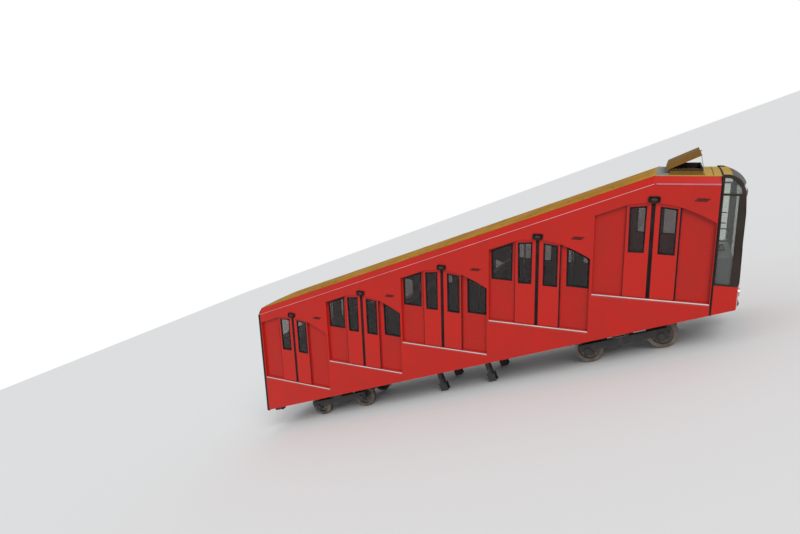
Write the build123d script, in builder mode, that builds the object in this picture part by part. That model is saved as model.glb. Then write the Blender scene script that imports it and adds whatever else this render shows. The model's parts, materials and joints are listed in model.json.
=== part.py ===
"""Funicular car with five stepped compartments, held on its inclined track by its haul rope.

Millimetres. +X points uphill and is level, +Y points to the car's left side, +Z up. The floors
are level and the wheels stand on a line that rises as the car's steps do. The origin is the
centre of the pin hole in the haul rope anchor, at the uphill end of the underframe.
"""
from build123d import *
from math import asin, atan2, ceil, cos, degrees, hypot, radians, sin, sqrt
import os

os.makedirs("parts", exist_ok=True)

# Driving dimensions of the stepped body
COMPARTMENTS = 5
PITCH = 2282                # level distance from one door seam to the next
RISE = 865                  # height of one floor step
WIDTH = 2400
ANCHOR_TO_SEAM = 1670       # rope anchor pin to the top compartment's door seam, level
ANCHOR_OVER_RAIL = 450      # square to the rails
LOWER_OVERHANG = 1200       # lowest door seam to the lower end
SIDE_OVERHANG = 1158        # top door seam to the uphill end of the red sides
NOSE_OVERHANG = 1590        # top door seam to the nose's corner posts
SKIRT_DROP = 700            # sill line to the skirt's lower edge, plumb

# Walls and roof
SKIN = 25
LEAF = 36
LEAF_GAP = 6
WALL = 35
EAVES = 2510                # sill line to the top of the side on the sloping part
LEVEL_EAVES = 2495          # top sill to the top of the side on the level part
SHOULDER = 160              # crease to eaves, square to the roof
SHOULDER_IN = 80            # how far the shoulder leans inwards
CROWN = 45                  # rise of the roof across its width
CORNER_RADIUS = 300         # lower end of the roof line
CREASE_LAP = 32             # shoulder plate carried down past the crease
ROOF_OVER_NOSE = 170
POST = 30
POST_INSET = 5              # post clear of the bay's uphill edge

# Door bays, measured from the seam and the sill
ARCH_LOW = -1102
ARCH_HIGH = 1130
ARCH_FOOT = -80
ARCH_LOW_TOP = 1668
ARCH_KNEE_LOW = (-500, 1900)
ARCH_TOP = (0, 1955)
ARCH_KNEE_HIGH = (500, 1885)
ARCH_SIDE = (800, 1768)
ARCH_HIGH_TOP = 1600
SILL_BAR = 50
SEAM_BOX = (-105, 121, 1965, 2093)
SEAM_BOX_OUT = 40
SEAM_GAP = 5
DOORWAY = (-460, 480)
DOORWAY_TOP = 1900
LEAF_FOOT = -20
LEAF_TOP = 1960
LEAF_LAP = 40               # leaf past the doorway's edge
SHOE = 40
SHOE_INSET = 90
FIT = 0.3                   # small gap between pieces that bear on each other

# Floor and cabin
FLOOR = 40
SCREEN = 30
SCREEN_HEIGHT = 1000
BENCH_DEPTH = 430
BENCH_HEIGHT = 440
BENCH_SEAT = 60
BENCH_BACK_TOP = 900
BENCH_BACK = 60
BENCH_BOX = 300
BENCH_HALF_WIDTH = 1060
POLE_RADIUS = 17
POLE_OFFSET = 560
DESK_HALF_WIDTH = 950
LOWER_DESK = ((20, 0), (300, 0), (300, 620), (420, 780), (420, 820), (20, 900))
UPPER_DESK = ((900, 0), (1140, 0), (1140, 330), (1480, 330), (1480, 900), (780, 820), (780, 780),
              (900, 620))

# Underframe and running gear, heights square to the rails
GAUGE_CENTRES = 1060        # between rail centre lines
WHEEL_RADIUS = 300
FLANGE = 25
AXLE_RADIUS = 60
JOURNAL_RADIUS = 50
BEAM_CENTRES = 1420
BEAM_WIDTH = 100
BEAM_HEIGHT = 180
WHEEL_ROOM = 35             # above the flanges, under the beams
FLOOR_ROOM = 25.8           # above the beams, under the upper edge of a floor
CROSS_BEAM = 90
CENTRE_SILL = 60
POST_SIDE = 80
POST_OFFSETS = (-950, -100, 700)
OUTRIGGER_OFFSET = -300
CHASSIS_ROOM = 40           # least room between the lower apron and the beams
BEAM_CUT = 10               # the beams are cut at a whole centimetre from the anchor
CHASSIS_HIGH = -420         # uphill end along the track, from the anchor
LOWER_BOGIE = 2200          # middle of the bogie from the beams' lower end
UPPER_BOGIE = -2300         # middle of the bogie from the anchor
WHEELBASE = 1600
BOGIE_BEAM = 160            # height of the side beams, their feet level with the axles
BOGIE_OVERHANG = 150
BOLSTER_RAISED = 40         # bolster above the feet of the side beams
BOLSTER_HEIGHT = 180
BOLSTER = 360
PAD = 200
PIVOT_RADIUS = 60
PIVOT_SHORT = 40            # pin's lower end above the bolster's
AXLEBOX = 200
JOURNAL_END = 775
RAIL_BRAKES = 700           # from the middle between the bogies
RAIL_BRAKE_FOOT = -15
JAW_CENTRE = 65             # rail centre line to the middle of a jaw
JAW = 40
ANCHOR_BORE = 30
ANCHOR_EYE = 75
CHEEK = 25
CHEEK_CENTRE = 52.5
CHEEK_ROOT = 550            # length of the cheeks under the underframe
CHEEK_THROAT = (370, 110)   # back from the underframe's end and below the beams
BUFFER_DROP = 140           # below the beams
BUFFER_RADIUS = 75
BUFFER_LENGTH = 260
BUFFER_PLATE = 40

# Ends
END_FRAME = 70
GLASS = 8
NOSE_BOW = 100
NOSE_RAIL = 80
NOSE_BAR = 65
NOSE_CORNER = 130           # corner posts below the transom, seen from the side
NOSE_SILL = 25
NOSE_GLASS_FOOT = 390
NOSE_TOP = 2520
NOSE_LEVEL = (320, 0)       # points of the brow: behind the corner post, below the top
NOSE_BEND = (125, 118)
NOSE_BROW = (27, 360)
NOSE_FACE = (0, 725)
NOSE_BACK = 600
NOSE_TRANSOM = 2128
NOSE_POST = 40
NOSE_TRANSOM_BAR = 35
NOSE_HEADER = 30
NOSE_HEADER_FOOT = 2320
NOSE_GLASS_INSET = 20
APRON = 25
APRON_INSET = 10
LOWER_GLASS_FOOT = 900
LAMP_RADIUS = 85
LAMP_ACROSS = 800
LAMP_OUT = 15
LAMP_DEPTH = 60
LOWER_LAMP = 250
UPPER_LAMP = 170

# Roof hatch, measured from the top seam and the roof's crown
HATCH_HINGE = (200, 45)
HATCH_LENGTH = 650
HATCH_HALF_WIDTH = 900
HATCH_DEPTH = 90
HATCH_SHEET = 20
HATCH_OPEN = 25
HATCH_HOLE_START = 72       # from the hinge
HATCH_ROOM = 5              # between the coaming and the closed lid's rim
COAMING = 25
COAMING_HEIGHT = 60
HINGE_BLOCK = 20
HINGE_ACROSS = 650
HINGE_CLEAR = 2             # brackets below the lid's edge
STAY_RADIUS = 7
STAY_ROOM = 30              # uphill of the coaming
STAY_ACROSS = 700
STAY_SEAT = 2.5             # into the roof's crown, whose curve trims the foot
STAY_CLEAR = 2              # plumb, from the stay to the tilted lid

# Worked out from the driving dimensions
SIDES = ((-1, "right"), (1, "left"))
GRADE = RISE / PITCH
SLOPE = atan2(RISE, PITCH)
COS, SIN = cos(SLOPE), sin(SLOPE)
STEP_OFFSET = ARCH_HIGH + POST_INSET + POST / 2
BEAM_FOOT = 2 * WHEEL_RADIUS + FLANGE + WHEEL_ROOM
BEAM_TOP = BEAM_FOOT + BEAM_HEIGHT
SILL_OVER_RAIL = BEAM_TOP / COS + STEP_OFFSET * GRADE + FLOOR + FLOOR_ROOM
BOGIE_BEAM_TOP = WHEEL_RADIUS + BOGIE_BEAM
BOLSTER_FOOT = WHEEL_RADIUS + BOLSTER_RAISED
PIVOT_FOOT = BOLSTER_FOOT + PIVOT_SHORT
BUFFER_HEIGHT = BEAM_FOOT - BUFFER_DROP
HATCH_HOLE_STOP = HATCH_LENGTH - HATCH_SHEET - HATCH_ROOM - COAMING
HATCH_HOLE = (HATCH_HINGE[0] + HATCH_HOLE_START, HATCH_HINGE[0] + HATCH_HOLE_STOP)
HATCH_HOLE_HALF_WIDTH = HATCH_HALF_WIDTH - HATCH_SHEET - HATCH_ROOM - COAMING
HALF = WIDTH / 2
SLOT = LEAF + 2 * LEAF_GAP
WALL_OUTER = HALF - SKIN - SLOT
WALL_INNER = WALL_OUTER - WALL
TOP_SEAM = -ANCHOR_TO_SEAM
SHOE_DROP = LEAF_FOOT - ARCH_FOOT - SILL_BAR - FIT


def sill_line(x):
    """Height of the line through all the sills, above or below the anchor."""
    return x * GRADE - ANCHOR_OVER_RAIL / COS + SILL_OVER_RAIL


# Door seam and sill of each compartment, the lowest first
SEAMS = [
    (TOP_SEAM - step * PITCH, sill_line(TOP_SEAM - step * PITCH))
    for step in reversed(range(COMPARTMENTS))
]
LOW_SEAM, LOW_SILL = SEAMS[0]
TOP_SILL = SEAMS[-1][1]
GLAZED = SEAMS[1:-1]
LOWER_END = LOW_SEAM - LOWER_OVERHANG
CABIN_LOW = LOWER_END + END_FRAME
SIDE_END = TOP_SEAM + SIDE_OVERHANG
NOSE_END = TOP_SEAM + NOSE_OVERHANG
CREASE = EAVES - SHOULDER / COS
LEVEL_CREASE = TOP_SILL + LEVEL_EAVES - SHOULDER
KNEE = TOP_SEAM + (LEVEL_CREASE - TOP_SILL - CREASE) / GRADE
ROOF_END = SIDE_END + ROOF_OVER_NOSE
ROOF_CROWN = TOP_SILL + LEVEL_EAVES + CROWN
BEAM_LIMIT = LOWER_END + APRON_INSET + APRON + CHASSIS_ROOM + (BEAM_TOP - ANCHOR_OVER_RAIL) * SIN
CHASSIS_LOW = BEAM_CUT * ceil(BEAM_LIMIT / COS / BEAM_CUT)
BOGIE_PLACES = (CHASSIS_LOW + LOWER_BOGIE, UPPER_BOGIE)
RAIL_BRAKE_PLACES = [sum(BOGIE_PLACES) / 2 + way * RAIL_BRAKES for way in (-1, 1)]
STEP_EDGES = [(x + STEP_OFFSET, z) for x, z in SEAMS[:-1]]
PANELS = list(zip([CABIN_LOW] + [x for x, z in STEP_EDGES], [x for x, z in STEP_EDGES] + [SIDE_END], SEAMS))
END_POST = LOWER_OVERHANG - END_FRAME + ARCH_LOW - POST_INSET
TOP_POST = SIDE_OVERHANG - ARCH_HIGH - POST_INSET

# Square across the shoulder: eaves, and the inner face one skin thickness in
LEAN = hypot(SHOULDER_IN, SHOULDER)
EAVES_Y = HALF - SHOULDER_IN
INNER_EAVES_Y = EAVES_Y - SKIN * SHOULDER / LEAN
INNER_EAVES_Z = SHOULDER - SKIN * SHOULDER_IN / LEAN
INNER_CREASE_Z = INNER_EAVES_Z - (HALF - SKIN - INNER_EAVES_Y) * SHOULDER / SHOULDER_IN
WALL_TOP = INNER_CREASE_Z + SLOT * SHOULDER / SHOULDER_IN - FIT

# Plane of the track: local x runs uphill along it, local z stands square to it
TRACK = Plane(
    origin=(ANCHOR_OVER_RAIL * SIN, 0, -ANCHOR_OVER_RAIL * COS),
    x_dir=(COS, 0, SIN),
    z_dir=(-SIN, 0, COS),
)
# The same seen from the right: local x uphill along the track, local y square to it
TRACK_SIDE = Plane(origin=TRACK.origin, x_dir=(COS, 0, SIN), z_dir=(0, -1, 0))


def roof_drop(y):
    """How far the roof's surface lies below its crown at y from the middle."""
    radius = (EAVES_Y**2 + CROWN**2) / (2 * CROWN)
    return radius - sqrt(radius**2 - y**2)


def side_plane(side, depth=0.0):
    """Upright lengthwise plane, depth inside the outer face; side is -1 right, +1 left."""
    return Plane.XZ.offset(-side * (HALF - depth))


def save(shape, name):
    shape.label = name
    export_step(shape, "parts/" + name + ".step")


# Outlines in level and plumb measures; those of a door bay start at its seam and sill
with BuildSketch() as arch:
    with BuildLine():
        Polyline((ARCH_HIGH, ARCH_FOOT), (ARCH_LOW, ARCH_FOOT), (ARCH_LOW, ARCH_LOW_TOP), ARCH_KNEE_LOW)
        ThreePointArc(ARCH_KNEE_LOW, ARCH_TOP, ARCH_KNEE_HIGH)
        ThreePointArc(ARCH_KNEE_HIGH, ARCH_SIDE, (ARCH_HIGH, ARCH_HIGH_TOP))
        Line((ARCH_HIGH, ARCH_HIGH_TOP), (ARCH_HIGH, ARCH_FOOT))
    make_face()

with BuildSketch() as low_window:
    with BuildLine():
        Polyline((-1068, 1650), (-557, 1853), (-570, 953), (-1057, 966), close=True)
    make_face()

with BuildSketch() as high_window:
    with BuildLine():
        ThreePointArc((625, 1812), (885, 1715), (1107, 1585))
        Polyline((1107, 1585), (1109, 925), (632, 937), (625, 1812))
    make_face()

with BuildSketch() as low_leaf_window:
    with BuildLine():
        Polyline((-443, 1863), (-112, 1896), (-120, 928), (-429, 924), close=True)
    make_face()

with BuildSketch() as high_leaf_window:
    with BuildLine():
        Polyline((128, 1889), (451, 1848), (448, 909), (129, 917), close=True)
    make_face()


def side_outline(raised=0.0):
    """The whole side, up to a line raised square from the crease."""
    level = LEVEL_CREASE + raised
    knee = KNEE - raised * (1 / COS - 1) / GRADE
    with BuildSketch() as outline:
        with BuildLine():
            Polyline(
                (CABIN_LOW, sill_line(CABIN_LOW) - SKIRT_DROP),
                (SIDE_END, sill_line(SIDE_END) - SKIRT_DROP),
                (SIDE_END, level),
                (knee, level),
                (CABIN_LOW, level - (knee - CABIN_LOW) * GRADE),
                close=True,
            )
        make_face()
    return outline.sketch


def body_outline(start, end, inset=0.0):
    """Side view of the body from start to end, with the rounded lower end of its roof line."""
    corner = (LOWER_END + inset, sill_line(LOWER_END) + EAVES + CROWN - inset)
    with BuildSketch() as outline:
        with BuildLine():
            Polyline(
                (corner[0], LOW_SILL - PITCH),
                corner,
                (KNEE, corner[1] + (KNEE - corner[0]) * GRADE),
                (KNEE, ROOF_CROWN + PITCH),
                (NOSE_END, ROOF_CROWN + PITCH),
                (NOSE_END, LOW_SILL - PITCH),
                close=True,
            )
        make_face()
        fillet(outline.vertices().group_by(Axis.X)[0].sort_by(Axis.Y)[-1], CORNER_RADIUS - inset)
        with Locations((start, LOW_SILL)):
            Rectangle(end - start, 3 * PITCH * COMPARTMENTS, align=(Align.MIN, Align.CENTER),
                      mode=Mode.INTERSECT)
    return outline.sketch


def along_roof(outline):
    """Run an outline, given across and square to the roof, from the lower end to the nose."""
    start = LOWER_END - CORNER_RADIUS
    with BuildPart() as run:
        with BuildLine(Plane.XZ) as crease:
            Polyline((start, sill_line(start) + CREASE), (KNEE, LEVEL_CREASE), (ROOF_END, LEVEL_CREASE))
        with BuildSketch(Plane(origin=crease.line @ 0, x_dir=(0, 1, 0), z_dir=crease.line % 0)):
            add(outline)
        sweep(transition=Transition.RIGHT)
    return run.part


def shoulder_outline(side):
    with BuildSketch() as shoulder:
        with BuildLine():
            Polyline(
                (side * HALF, -CREASE_LAP),
                (side * HALF, 0),
                (side * EAVES_Y, SHOULDER),
                (side * INNER_EAVES_Y, INNER_EAVES_Z),
                (side * (HALF - SKIN), INNER_CREASE_Z),
                (side * (HALF - SKIN), -CREASE_LAP),
                close=True,
            )
        make_face()
    return shoulder.sketch


# Outer skins: a flat side with arched door bays and the shoulder that leans in to the roof. Each
# compartment has a skirt, two pillar plates beside its bay, and an arched plate with its shoulder.
SKIN_JOINTS = SKIN + 2 * SHOULDER_IN
for side, side_name in SIDES:
    shoulder_run = along_roof(shoulder_outline(side))
    with BuildPart() as skin:
        with BuildSketch(side_plane(side)):
            add(side_outline())
        extrude(amount=side * SKIN)
        add(shoulder_run)
        with BuildSketch(Plane.XZ):
            add(body_outline(CABIN_LOW, SIDE_END))
        extrude(amount=HALF, both=True, mode=Mode.INTERSECT)
        with BuildSketch(side_plane(side)):
            with Locations(*SEAMS):
                add(arch.sketch)
            with Locations(*STEP_EDGES):
                Rectangle(FIT, 2 * COMPARTMENTS * EAVES)
            for start, stop, (x, z) in PANELS:
                with Locations((start, z + ARCH_FOOT)):
                    Rectangle(stop - start, FIT, align=(Align.MIN, Align.MIN))
                with Locations((start, z + ARCH_HIGH_TOP)):
                    Rectangle(stop - start, FIT, align=(Align.MIN, Align.MAX))
        extrude(amount=side * SKIN_JOINTS, mode=Mode.SUBTRACT)
    save(skin.part, side_name + "_outer_skin")

# Inner walls behind the sliding leaves: in each compartment a foot, two window panels and a header
for side, side_name in SIDES:
    with BuildPart() as wall:
        with BuildSketch(side_plane(side, HALF - WALL_OUTER)):
            add(side_outline(WALL_TOP))
            for start, stop, (x, z) in PANELS:
                with Locations((start, z + ARCH_FOOT)):
                    Rectangle(stop - start, 2 * PITCH, align=(Align.MIN, Align.MAX), mode=Mode.SUBTRACT)
                with Locations((x + DOORWAY[0], z)):
                    Rectangle(DOORWAY[1] - DOORWAY[0], DOORWAY_TOP, align=(Align.MIN, Align.MIN),
                              mode=Mode.SUBTRACT)
                with Locations((start, z), (start, z + DOORWAY_TOP + FIT)):
                    Rectangle(stop - start, FIT, align=(Align.MIN, Align.MAX), mode=Mode.SUBTRACT)
            with Locations(*GLAZED):
                add(low_window.sketch, mode=Mode.SUBTRACT)
                add(high_window.sketch, mode=Mode.SUBTRACT)
            with Locations(*STEP_EDGES):
                Rectangle(FIT, 2 * COMPARTMENTS * EAVES, mode=Mode.SUBTRACT)
        extrude(amount=side * WALL)
        with BuildSketch(Plane.XZ):
            add(body_outline(CABIN_LOW, SIDE_END, SKIN))
        extrude(amount=HALF, both=True, mode=Mode.INTERSECT)
    save(wall.part, side_name + "_inner_wall")

# Posts between skin and inner wall, over the panel joints: middle, width and sill of each
POSTS = [(x, POST, z) for x, z in STEP_EDGES]
POSTS.append((CABIN_LOW + END_POST / 2, END_POST, LOW_SILL))
POSTS.append((SIDE_END - TOP_POST / 2, TOP_POST, TOP_SILL))
with BuildPart() as wall_posts:
    for side, side_name in SIDES:
        with BuildSketch(side_plane(side, SKIN)):
            for x, width, z in POSTS:
                with Locations((x, z + ARCH_FOOT)):
                    Rectangle(width, 2 * EAVES, align=(Align.CENTER, Align.MIN))
            add(side_outline(INNER_CREASE_Z), mode=Mode.INTERSECT)
        extrude(amount=side * SLOT)
save(wall_posts.part, "wall_posts")


# On both sides: fixed glass, bars under the bays that carry the leaves, boxes over the seams
with BuildPart() as glass:
    for side, side_name in SIDES:
        with BuildSketch(side_plane(side, HALF - WALL_OUTER + (WALL - GLASS) / 2)):
            with Locations(*GLAZED):
                add(low_window.sketch)
                add(high_window.sketch)
            offset(amount=-FIT)
        extrude(amount=side * GLASS)
save(glass.part, "side_windows")

with BuildPart() as sill:
    for side, side_name in SIDES:
        with BuildSketch(side_plane(side)):
            with Locations(*[(x + ARCH_LOW, z + ARCH_FOOT) for x, z in SEAMS]):
                Rectangle(ARCH_HIGH - ARCH_LOW, SILL_BAR, align=(Align.MIN, Align.MIN))
        extrude(amount=side * (SKIN + SLOT))
save(sill.part, "sill_bars")

with BuildPart() as seam_boxes:
    for side, side_name in SIDES:
        with BuildSketch(side_plane(side)):
            with Locations(*[(x + SEAM_BOX[0], z + SEAM_BOX[2]) for x, z in SEAMS]):
                Rectangle(SEAM_BOX[1] - SEAM_BOX[0], SEAM_BOX[3] - SEAM_BOX[2],
                          align=(Align.MIN, Align.MIN))
        extrude(amount=-side * SEAM_BOX_OUT)
save(seam_boxes.part, "seam_boxes")

# Door leaves: window outline, and the edges of the leaf from the seam, for each of a pair
LEAVES = (
    ("lower", low_leaf_window.sketch, DOORWAY[0] - LEAF_LAP, -SEAM_GAP / 2),
    ("upper", high_leaf_window.sketch, SEAM_GAP / 2, DOORWAY[1] + LEAF_LAP),
)
for side, side_name in SIDES:
    for number, (x, z) in enumerate(SEAMS, 1):
        for leaf_name, window, low_edge, high_edge in LEAVES:
            with BuildPart() as leaf:
                with BuildSketch(side_plane(side, SKIN + LEAF_GAP)):
                    with Locations((x, z)):
                        with Locations((low_edge, LEAF_FOOT)):
                            Rectangle(high_edge - low_edge, LEAF_TOP - LEAF_FOOT,
                                      align=(Align.MIN, Align.MIN))
                        with Locations((low_edge + SHOE_INSET, LEAF_FOOT),
                                       (high_edge - SHOE_INSET, LEAF_FOOT)):
                            Rectangle(SHOE, SHOE_DROP, align=(Align.CENTER, Align.MAX))
                        add(window, mode=Mode.SUBTRACT)
                extrude(amount=side * LEAF)
            save(leaf.part, f"door_{number}_{side_name}_{leaf_name}")

# Roof: crowned sheets over slope and level, the upper one with the hatch hole and its coaming
with BuildSketch() as roof_section:
    with BuildLine():
        ThreePointArc((-EAVES_Y, SHOULDER), (0, SHOULDER + CROWN), (EAVES_Y, SHOULDER))
        Line((EAVES_Y, SHOULDER), (INNER_EAVES_Y, INNER_EAVES_Z))
        ThreePointArc((INNER_EAVES_Y, INNER_EAVES_Z), (0, SHOULDER + CROWN - SKIN),
                      (-INNER_EAVES_Y, INNER_EAVES_Z))
        Line((-INNER_EAVES_Y, INNER_EAVES_Z), (-EAVES_Y, SHOULDER))
    make_face()

HOLE_LENGTH = HATCH_HOLE[1] - HATCH_HOLE[0]
HOLE_MIDDLE = TOP_SEAM + (HATCH_HOLE[0] + HATCH_HOLE[1]) / 2
roof_run = along_roof(roof_section.sketch)
with BuildPart() as roof:
    add(roof_run)
    with BuildSketch(Plane.XZ):
        add(body_outline(CABIN_LOW, ROOF_END))
    extrude(amount=HALF, both=True, mode=Mode.INTERSECT)
    with BuildSketch(Plane.XY.offset(ROOF_CROWN - CROWN - SKIN)):
        with Locations((HOLE_MIDDLE, 0)):
            Rectangle(HOLE_LENGTH + 2 * COAMING, 2 * (HATCH_HOLE_HALF_WIDTH + COAMING))
    extrude(amount=CROWN + SKIN + COAMING_HEIGHT)
    with BuildSketch(Plane.XY.offset(ROOF_CROWN - CROWN - SKIN)):
        with Locations((HOLE_MIDDLE, 0)):
            Rectangle(HOLE_LENGTH, 2 * HATCH_HOLE_HALF_WIDTH)
    extrude(amount=CROWN + SKIN + COAMING_HEIGHT, mode=Mode.SUBTRACT)
    with BuildSketch(Plane.XY.offset(ROOF_CROWN - PITCH)):
        with Locations((KNEE, 0)):
            Rectangle(FIT, WIDTH)
    extrude(amount=2 * PITCH, mode=Mode.SUBTRACT)
save(roof.part, "roof")

# Hatch lid: a shallow tray, standing open on its stay, turned about its rim's lower edge
HATCH_PIN = (TOP_SEAM + HATCH_HINGE[0], 0, ROOF_CROWN + HATCH_HINGE[1])
HATCH = Plane(
    origin=HATCH_PIN,
    x_dir=(cos(radians(HATCH_OPEN)), 0, sin(radians(HATCH_OPEN))),
    z_dir=(-sin(radians(HATCH_OPEN)), 0, cos(radians(HATCH_OPEN))),
)
with BuildPart() as lid:
    with BuildSketch(HATCH):
        Rectangle(HATCH_LENGTH, 2 * HATCH_HALF_WIDTH, align=(Align.MIN, Align.CENTER))
    extrude(amount=HATCH_DEPTH)
    with BuildSketch(HATCH):
        with Locations((HATCH_SHEET, 0)):
            Rectangle(HATCH_LENGTH - 2 * HATCH_SHEET, 2 * (HATCH_HALF_WIDTH - HATCH_SHEET),
                      align=(Align.MIN, Align.CENTER))
    extrude(amount=HATCH_DEPTH - HATCH_SHEET, mode=Mode.SUBTRACT)
save(lid.part, "roof_hatch")

# Stay under the lid's free end, and the two hinge brackets at its other end
LID_FOOT = HATCH.from_local_coords((HATCH_LENGTH - HATCH_SHEET / 2, 0, 0))
STAY_FOOT = HATCH_PIN[0] + HATCH_HOLE_STOP + COAMING + STAY_ROOM
STAY_LEVEL = ROOF_CROWN - roof_drop(STAY_ACROSS) - STAY_SEAT
HINGE_SEAT = roof_drop(HINGE_ACROSS) + SKIN / 2
with BuildPart() as stay:
    stay_foot = (STAY_FOOT, -STAY_ACROSS, STAY_LEVEL)
    stay_head = (LID_FOOT.X, -STAY_ACROSS, LID_FOOT.Z - STAY_CLEAR)
    with BuildLine():
        stay_line = Line(stay_foot, stay_head)
    with BuildSketch(Plane(origin=stay_foot, z_dir=stay_line % 0)):
        Circle(STAY_RADIUS)
    sweep()
    with BuildSketch(Plane.XY.offset(STAY_LEVEL)):
        with Locations(stay_foot[:2]):
            Circle(3 * STAY_RADIUS)
    extrude(amount=2 * STAY_RADIUS)
    add(roof_run, mode=Mode.SUBTRACT)
save(stay.part, "hatch_stay")

with BuildPart() as hinges:
    with BuildSketch(Plane.XY.offset(ROOF_CROWN - HINGE_SEAT)):
        with Locations((HATCH_PIN[0] - HINGE_BLOCK - FIT, -HINGE_ACROSS),
                       (HATCH_PIN[0] - HINGE_BLOCK - FIT, HINGE_ACROSS)):
            Rectangle(2 * HINGE_BLOCK, HINGE_BLOCK * 4)
    extrude(amount=HINGE_SEAT + HATCH_HINGE[1] - HINGE_CLEAR)
    add(roof_run, mode=Mode.SUBTRACT)
save(hinges.part, "hatch_hinges")

# Brow over the lower windscreen: follows the rounded corner between the shoulders
with BuildSketch() as inside_section:
    with BuildLine():
        Polyline(
            (-INNER_EAVES_Y, INNER_EAVES_Z),
            (-(HALF - SKIN), INNER_CREASE_Z),
            (-(HALF - SKIN), -EAVES),
            (HALF - SKIN, -EAVES),
            (HALF - SKIN, INNER_CREASE_Z),
            (INNER_EAVES_Y, INNER_EAVES_Z),
        )
        ThreePointArc((INNER_EAVES_Y, INNER_EAVES_Z), (0, SHOULDER + CROWN - SKIN),
                      (-INNER_EAVES_Y, INNER_EAVES_Z))
    make_face()
inside_run = along_roof(inside_section.sketch)
CORNER_TANGENT = CORNER_RADIUS * (1 - SIN) / COS
END_TOP = sill_line(LOWER_END) + EAVES + CROWN - CORNER_TANGENT
with BuildPart() as brow:
    add(inside_run)
    with BuildSketch(Plane.XZ):
        add(body_outline(LOWER_END, LOWER_END + CORNER_RADIUS))
        add(body_outline(LOWER_END, LOWER_END + CORNER_RADIUS, SKIN), mode=Mode.SUBTRACT)
        with Locations((LOWER_END, END_TOP)):
            Rectangle(PITCH, 3 * PITCH, align=(Align.CENTER, Align.MAX), mode=Mode.SUBTRACT)
    extrude(amount=HALF, both=True, mode=Mode.INTERSECT)
save(brow.part, "lower_brow")

# Lower end: a black frame over the full height, its windscreen, and the red apron below it
END_FOOT = sill_line(LOWER_END) - SKIRT_DROP
with BuildPart() as end_frame:
    with BuildSketch(Plane.YZ.offset(LOWER_END)):
        with Locations((0, END_FOOT)):
            Rectangle(WIDTH, END_TOP - END_FOOT, align=(Align.CENTER, Align.MIN))
        with Locations((0, LOW_SILL + LOWER_GLASS_FOOT)):
            Rectangle(WIDTH - 2 * END_FRAME, END_TOP - END_FRAME - LOW_SILL - LOWER_GLASS_FOOT,
                      align=(Align.CENTER, Align.MIN), mode=Mode.SUBTRACT)
        with Locations((0, LOW_SILL + LOWER_GLASS_FOOT - END_FRAME)):
            Rectangle(WIDTH - 2 * END_FRAME, LOW_SILL + LOWER_GLASS_FOOT - 2 * END_FRAME - END_FOOT,
                      align=(Align.CENTER, Align.MAX), mode=Mode.SUBTRACT)
    extrude(amount=END_FRAME)
save(end_frame.part, "lower_end_frame")

with BuildPart() as windscreen:
    with BuildSketch(Plane.YZ.offset(LOWER_END + (END_FRAME - GLASS) / 2)):
        with Locations((0, LOW_SILL + LOWER_GLASS_FOOT)):
            Rectangle(WIDTH - 2 * END_FRAME, END_TOP - END_FRAME - LOW_SILL - LOWER_GLASS_FOOT,
                      align=(Align.CENTER, Align.MIN))
    extrude(amount=GLASS)
save(windscreen.part, "lower_windscreen")

with BuildPart() as lower_apron:
    with BuildSketch(Plane.YZ.offset(LOWER_END + APRON_INSET)):
        with Locations((0, LOW_SILL + LOWER_GLASS_FOOT - END_FRAME)):
            Rectangle(WIDTH - 2 * END_FRAME, LOW_SILL + LOWER_GLASS_FOOT - 2 * END_FRAME - END_FOOT,
                      align=(Align.CENTER, Align.MAX))
        with Locations((-LAMP_ACROSS, LOW_SILL + LOWER_LAMP), (LAMP_ACROSS, LOW_SILL + LOWER_LAMP)):
            Circle(LAMP_RADIUS + FIT, mode=Mode.SUBTRACT)
    extrude(amount=APRON)
save(lower_apron.part, "lower_apron")

# Uphill nose: its side view, and its front bowed about an upright axis far behind it
NOSE_RADIUS = (HALF**2 + NOSE_BOW**2) / (2 * NOSE_BOW)
NOSE_AXIS = NOSE_END + NOSE_BOW - NOSE_RADIUS


def nose_outline(inset, start, foot):
    """Side view of the nose from the top seam and sill, its face and top moved in by inset."""
    level = (NOSE_OVERHANG - NOSE_LEVEL[0], NOSE_TOP - inset)
    lean = inset / hypot(*NOSE_BEND)
    bend = (NOSE_OVERHANG - NOSE_BEND[0] - lean * NOSE_BEND[1],
            NOSE_TOP - NOSE_BEND[1] - lean * NOSE_BEND[0])
    brow = (NOSE_OVERHANG - NOSE_BROW[0] - inset, NOSE_TOP - NOSE_BROW[1])
    face = (NOSE_OVERHANG - inset, NOSE_TOP - NOSE_FACE[1])
    with BuildSketch() as outline:
        with BuildLine():
            Line((start, level[1]), level)
            ThreePointArc(level, bend, brow)
            Polyline(brow, face, (face[0], foot), (start, foot), (start, level[1]))
        make_face()
    return outline.sketch


def nose_front(inset, thick, foot, top, half_width):
    """A band of the bowed front between two heights above the top sill."""
    swing = asin(half_width / NOSE_RADIUS)
    start = Plane(
        origin=(NOSE_AXIS, 0, TOP_SILL),
        x_dir=(cos(swing), -sin(swing), 0),
        z_dir=(-sin(swing), -cos(swing), 0),
    )
    outer = nose_outline(inset, NOSE_OVERHANG - NOSE_BACK, -NOSE_TOP)
    inner = nose_outline(inset + thick, NOSE_OVERHANG - NOSE_BACK, -NOSE_TOP)
    with BuildPart() as front:
        with BuildSketch(start):
            with Locations((NOSE_RADIUS - NOSE_OVERHANG, 0)):
                add(outer)
                add(inner, mode=Mode.SUBTRACT)
            with Locations((NOSE_RADIUS, foot)):
                Rectangle(PITCH, top - foot, align=(Align.CENTER, Align.MIN), mode=Mode.INTERSECT)
        revolve(axis=Axis((NOSE_AXIS, 0, 0), (0, 0, 1)), revolution_arc=2 * degrees(swing))
    return front.part


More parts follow.
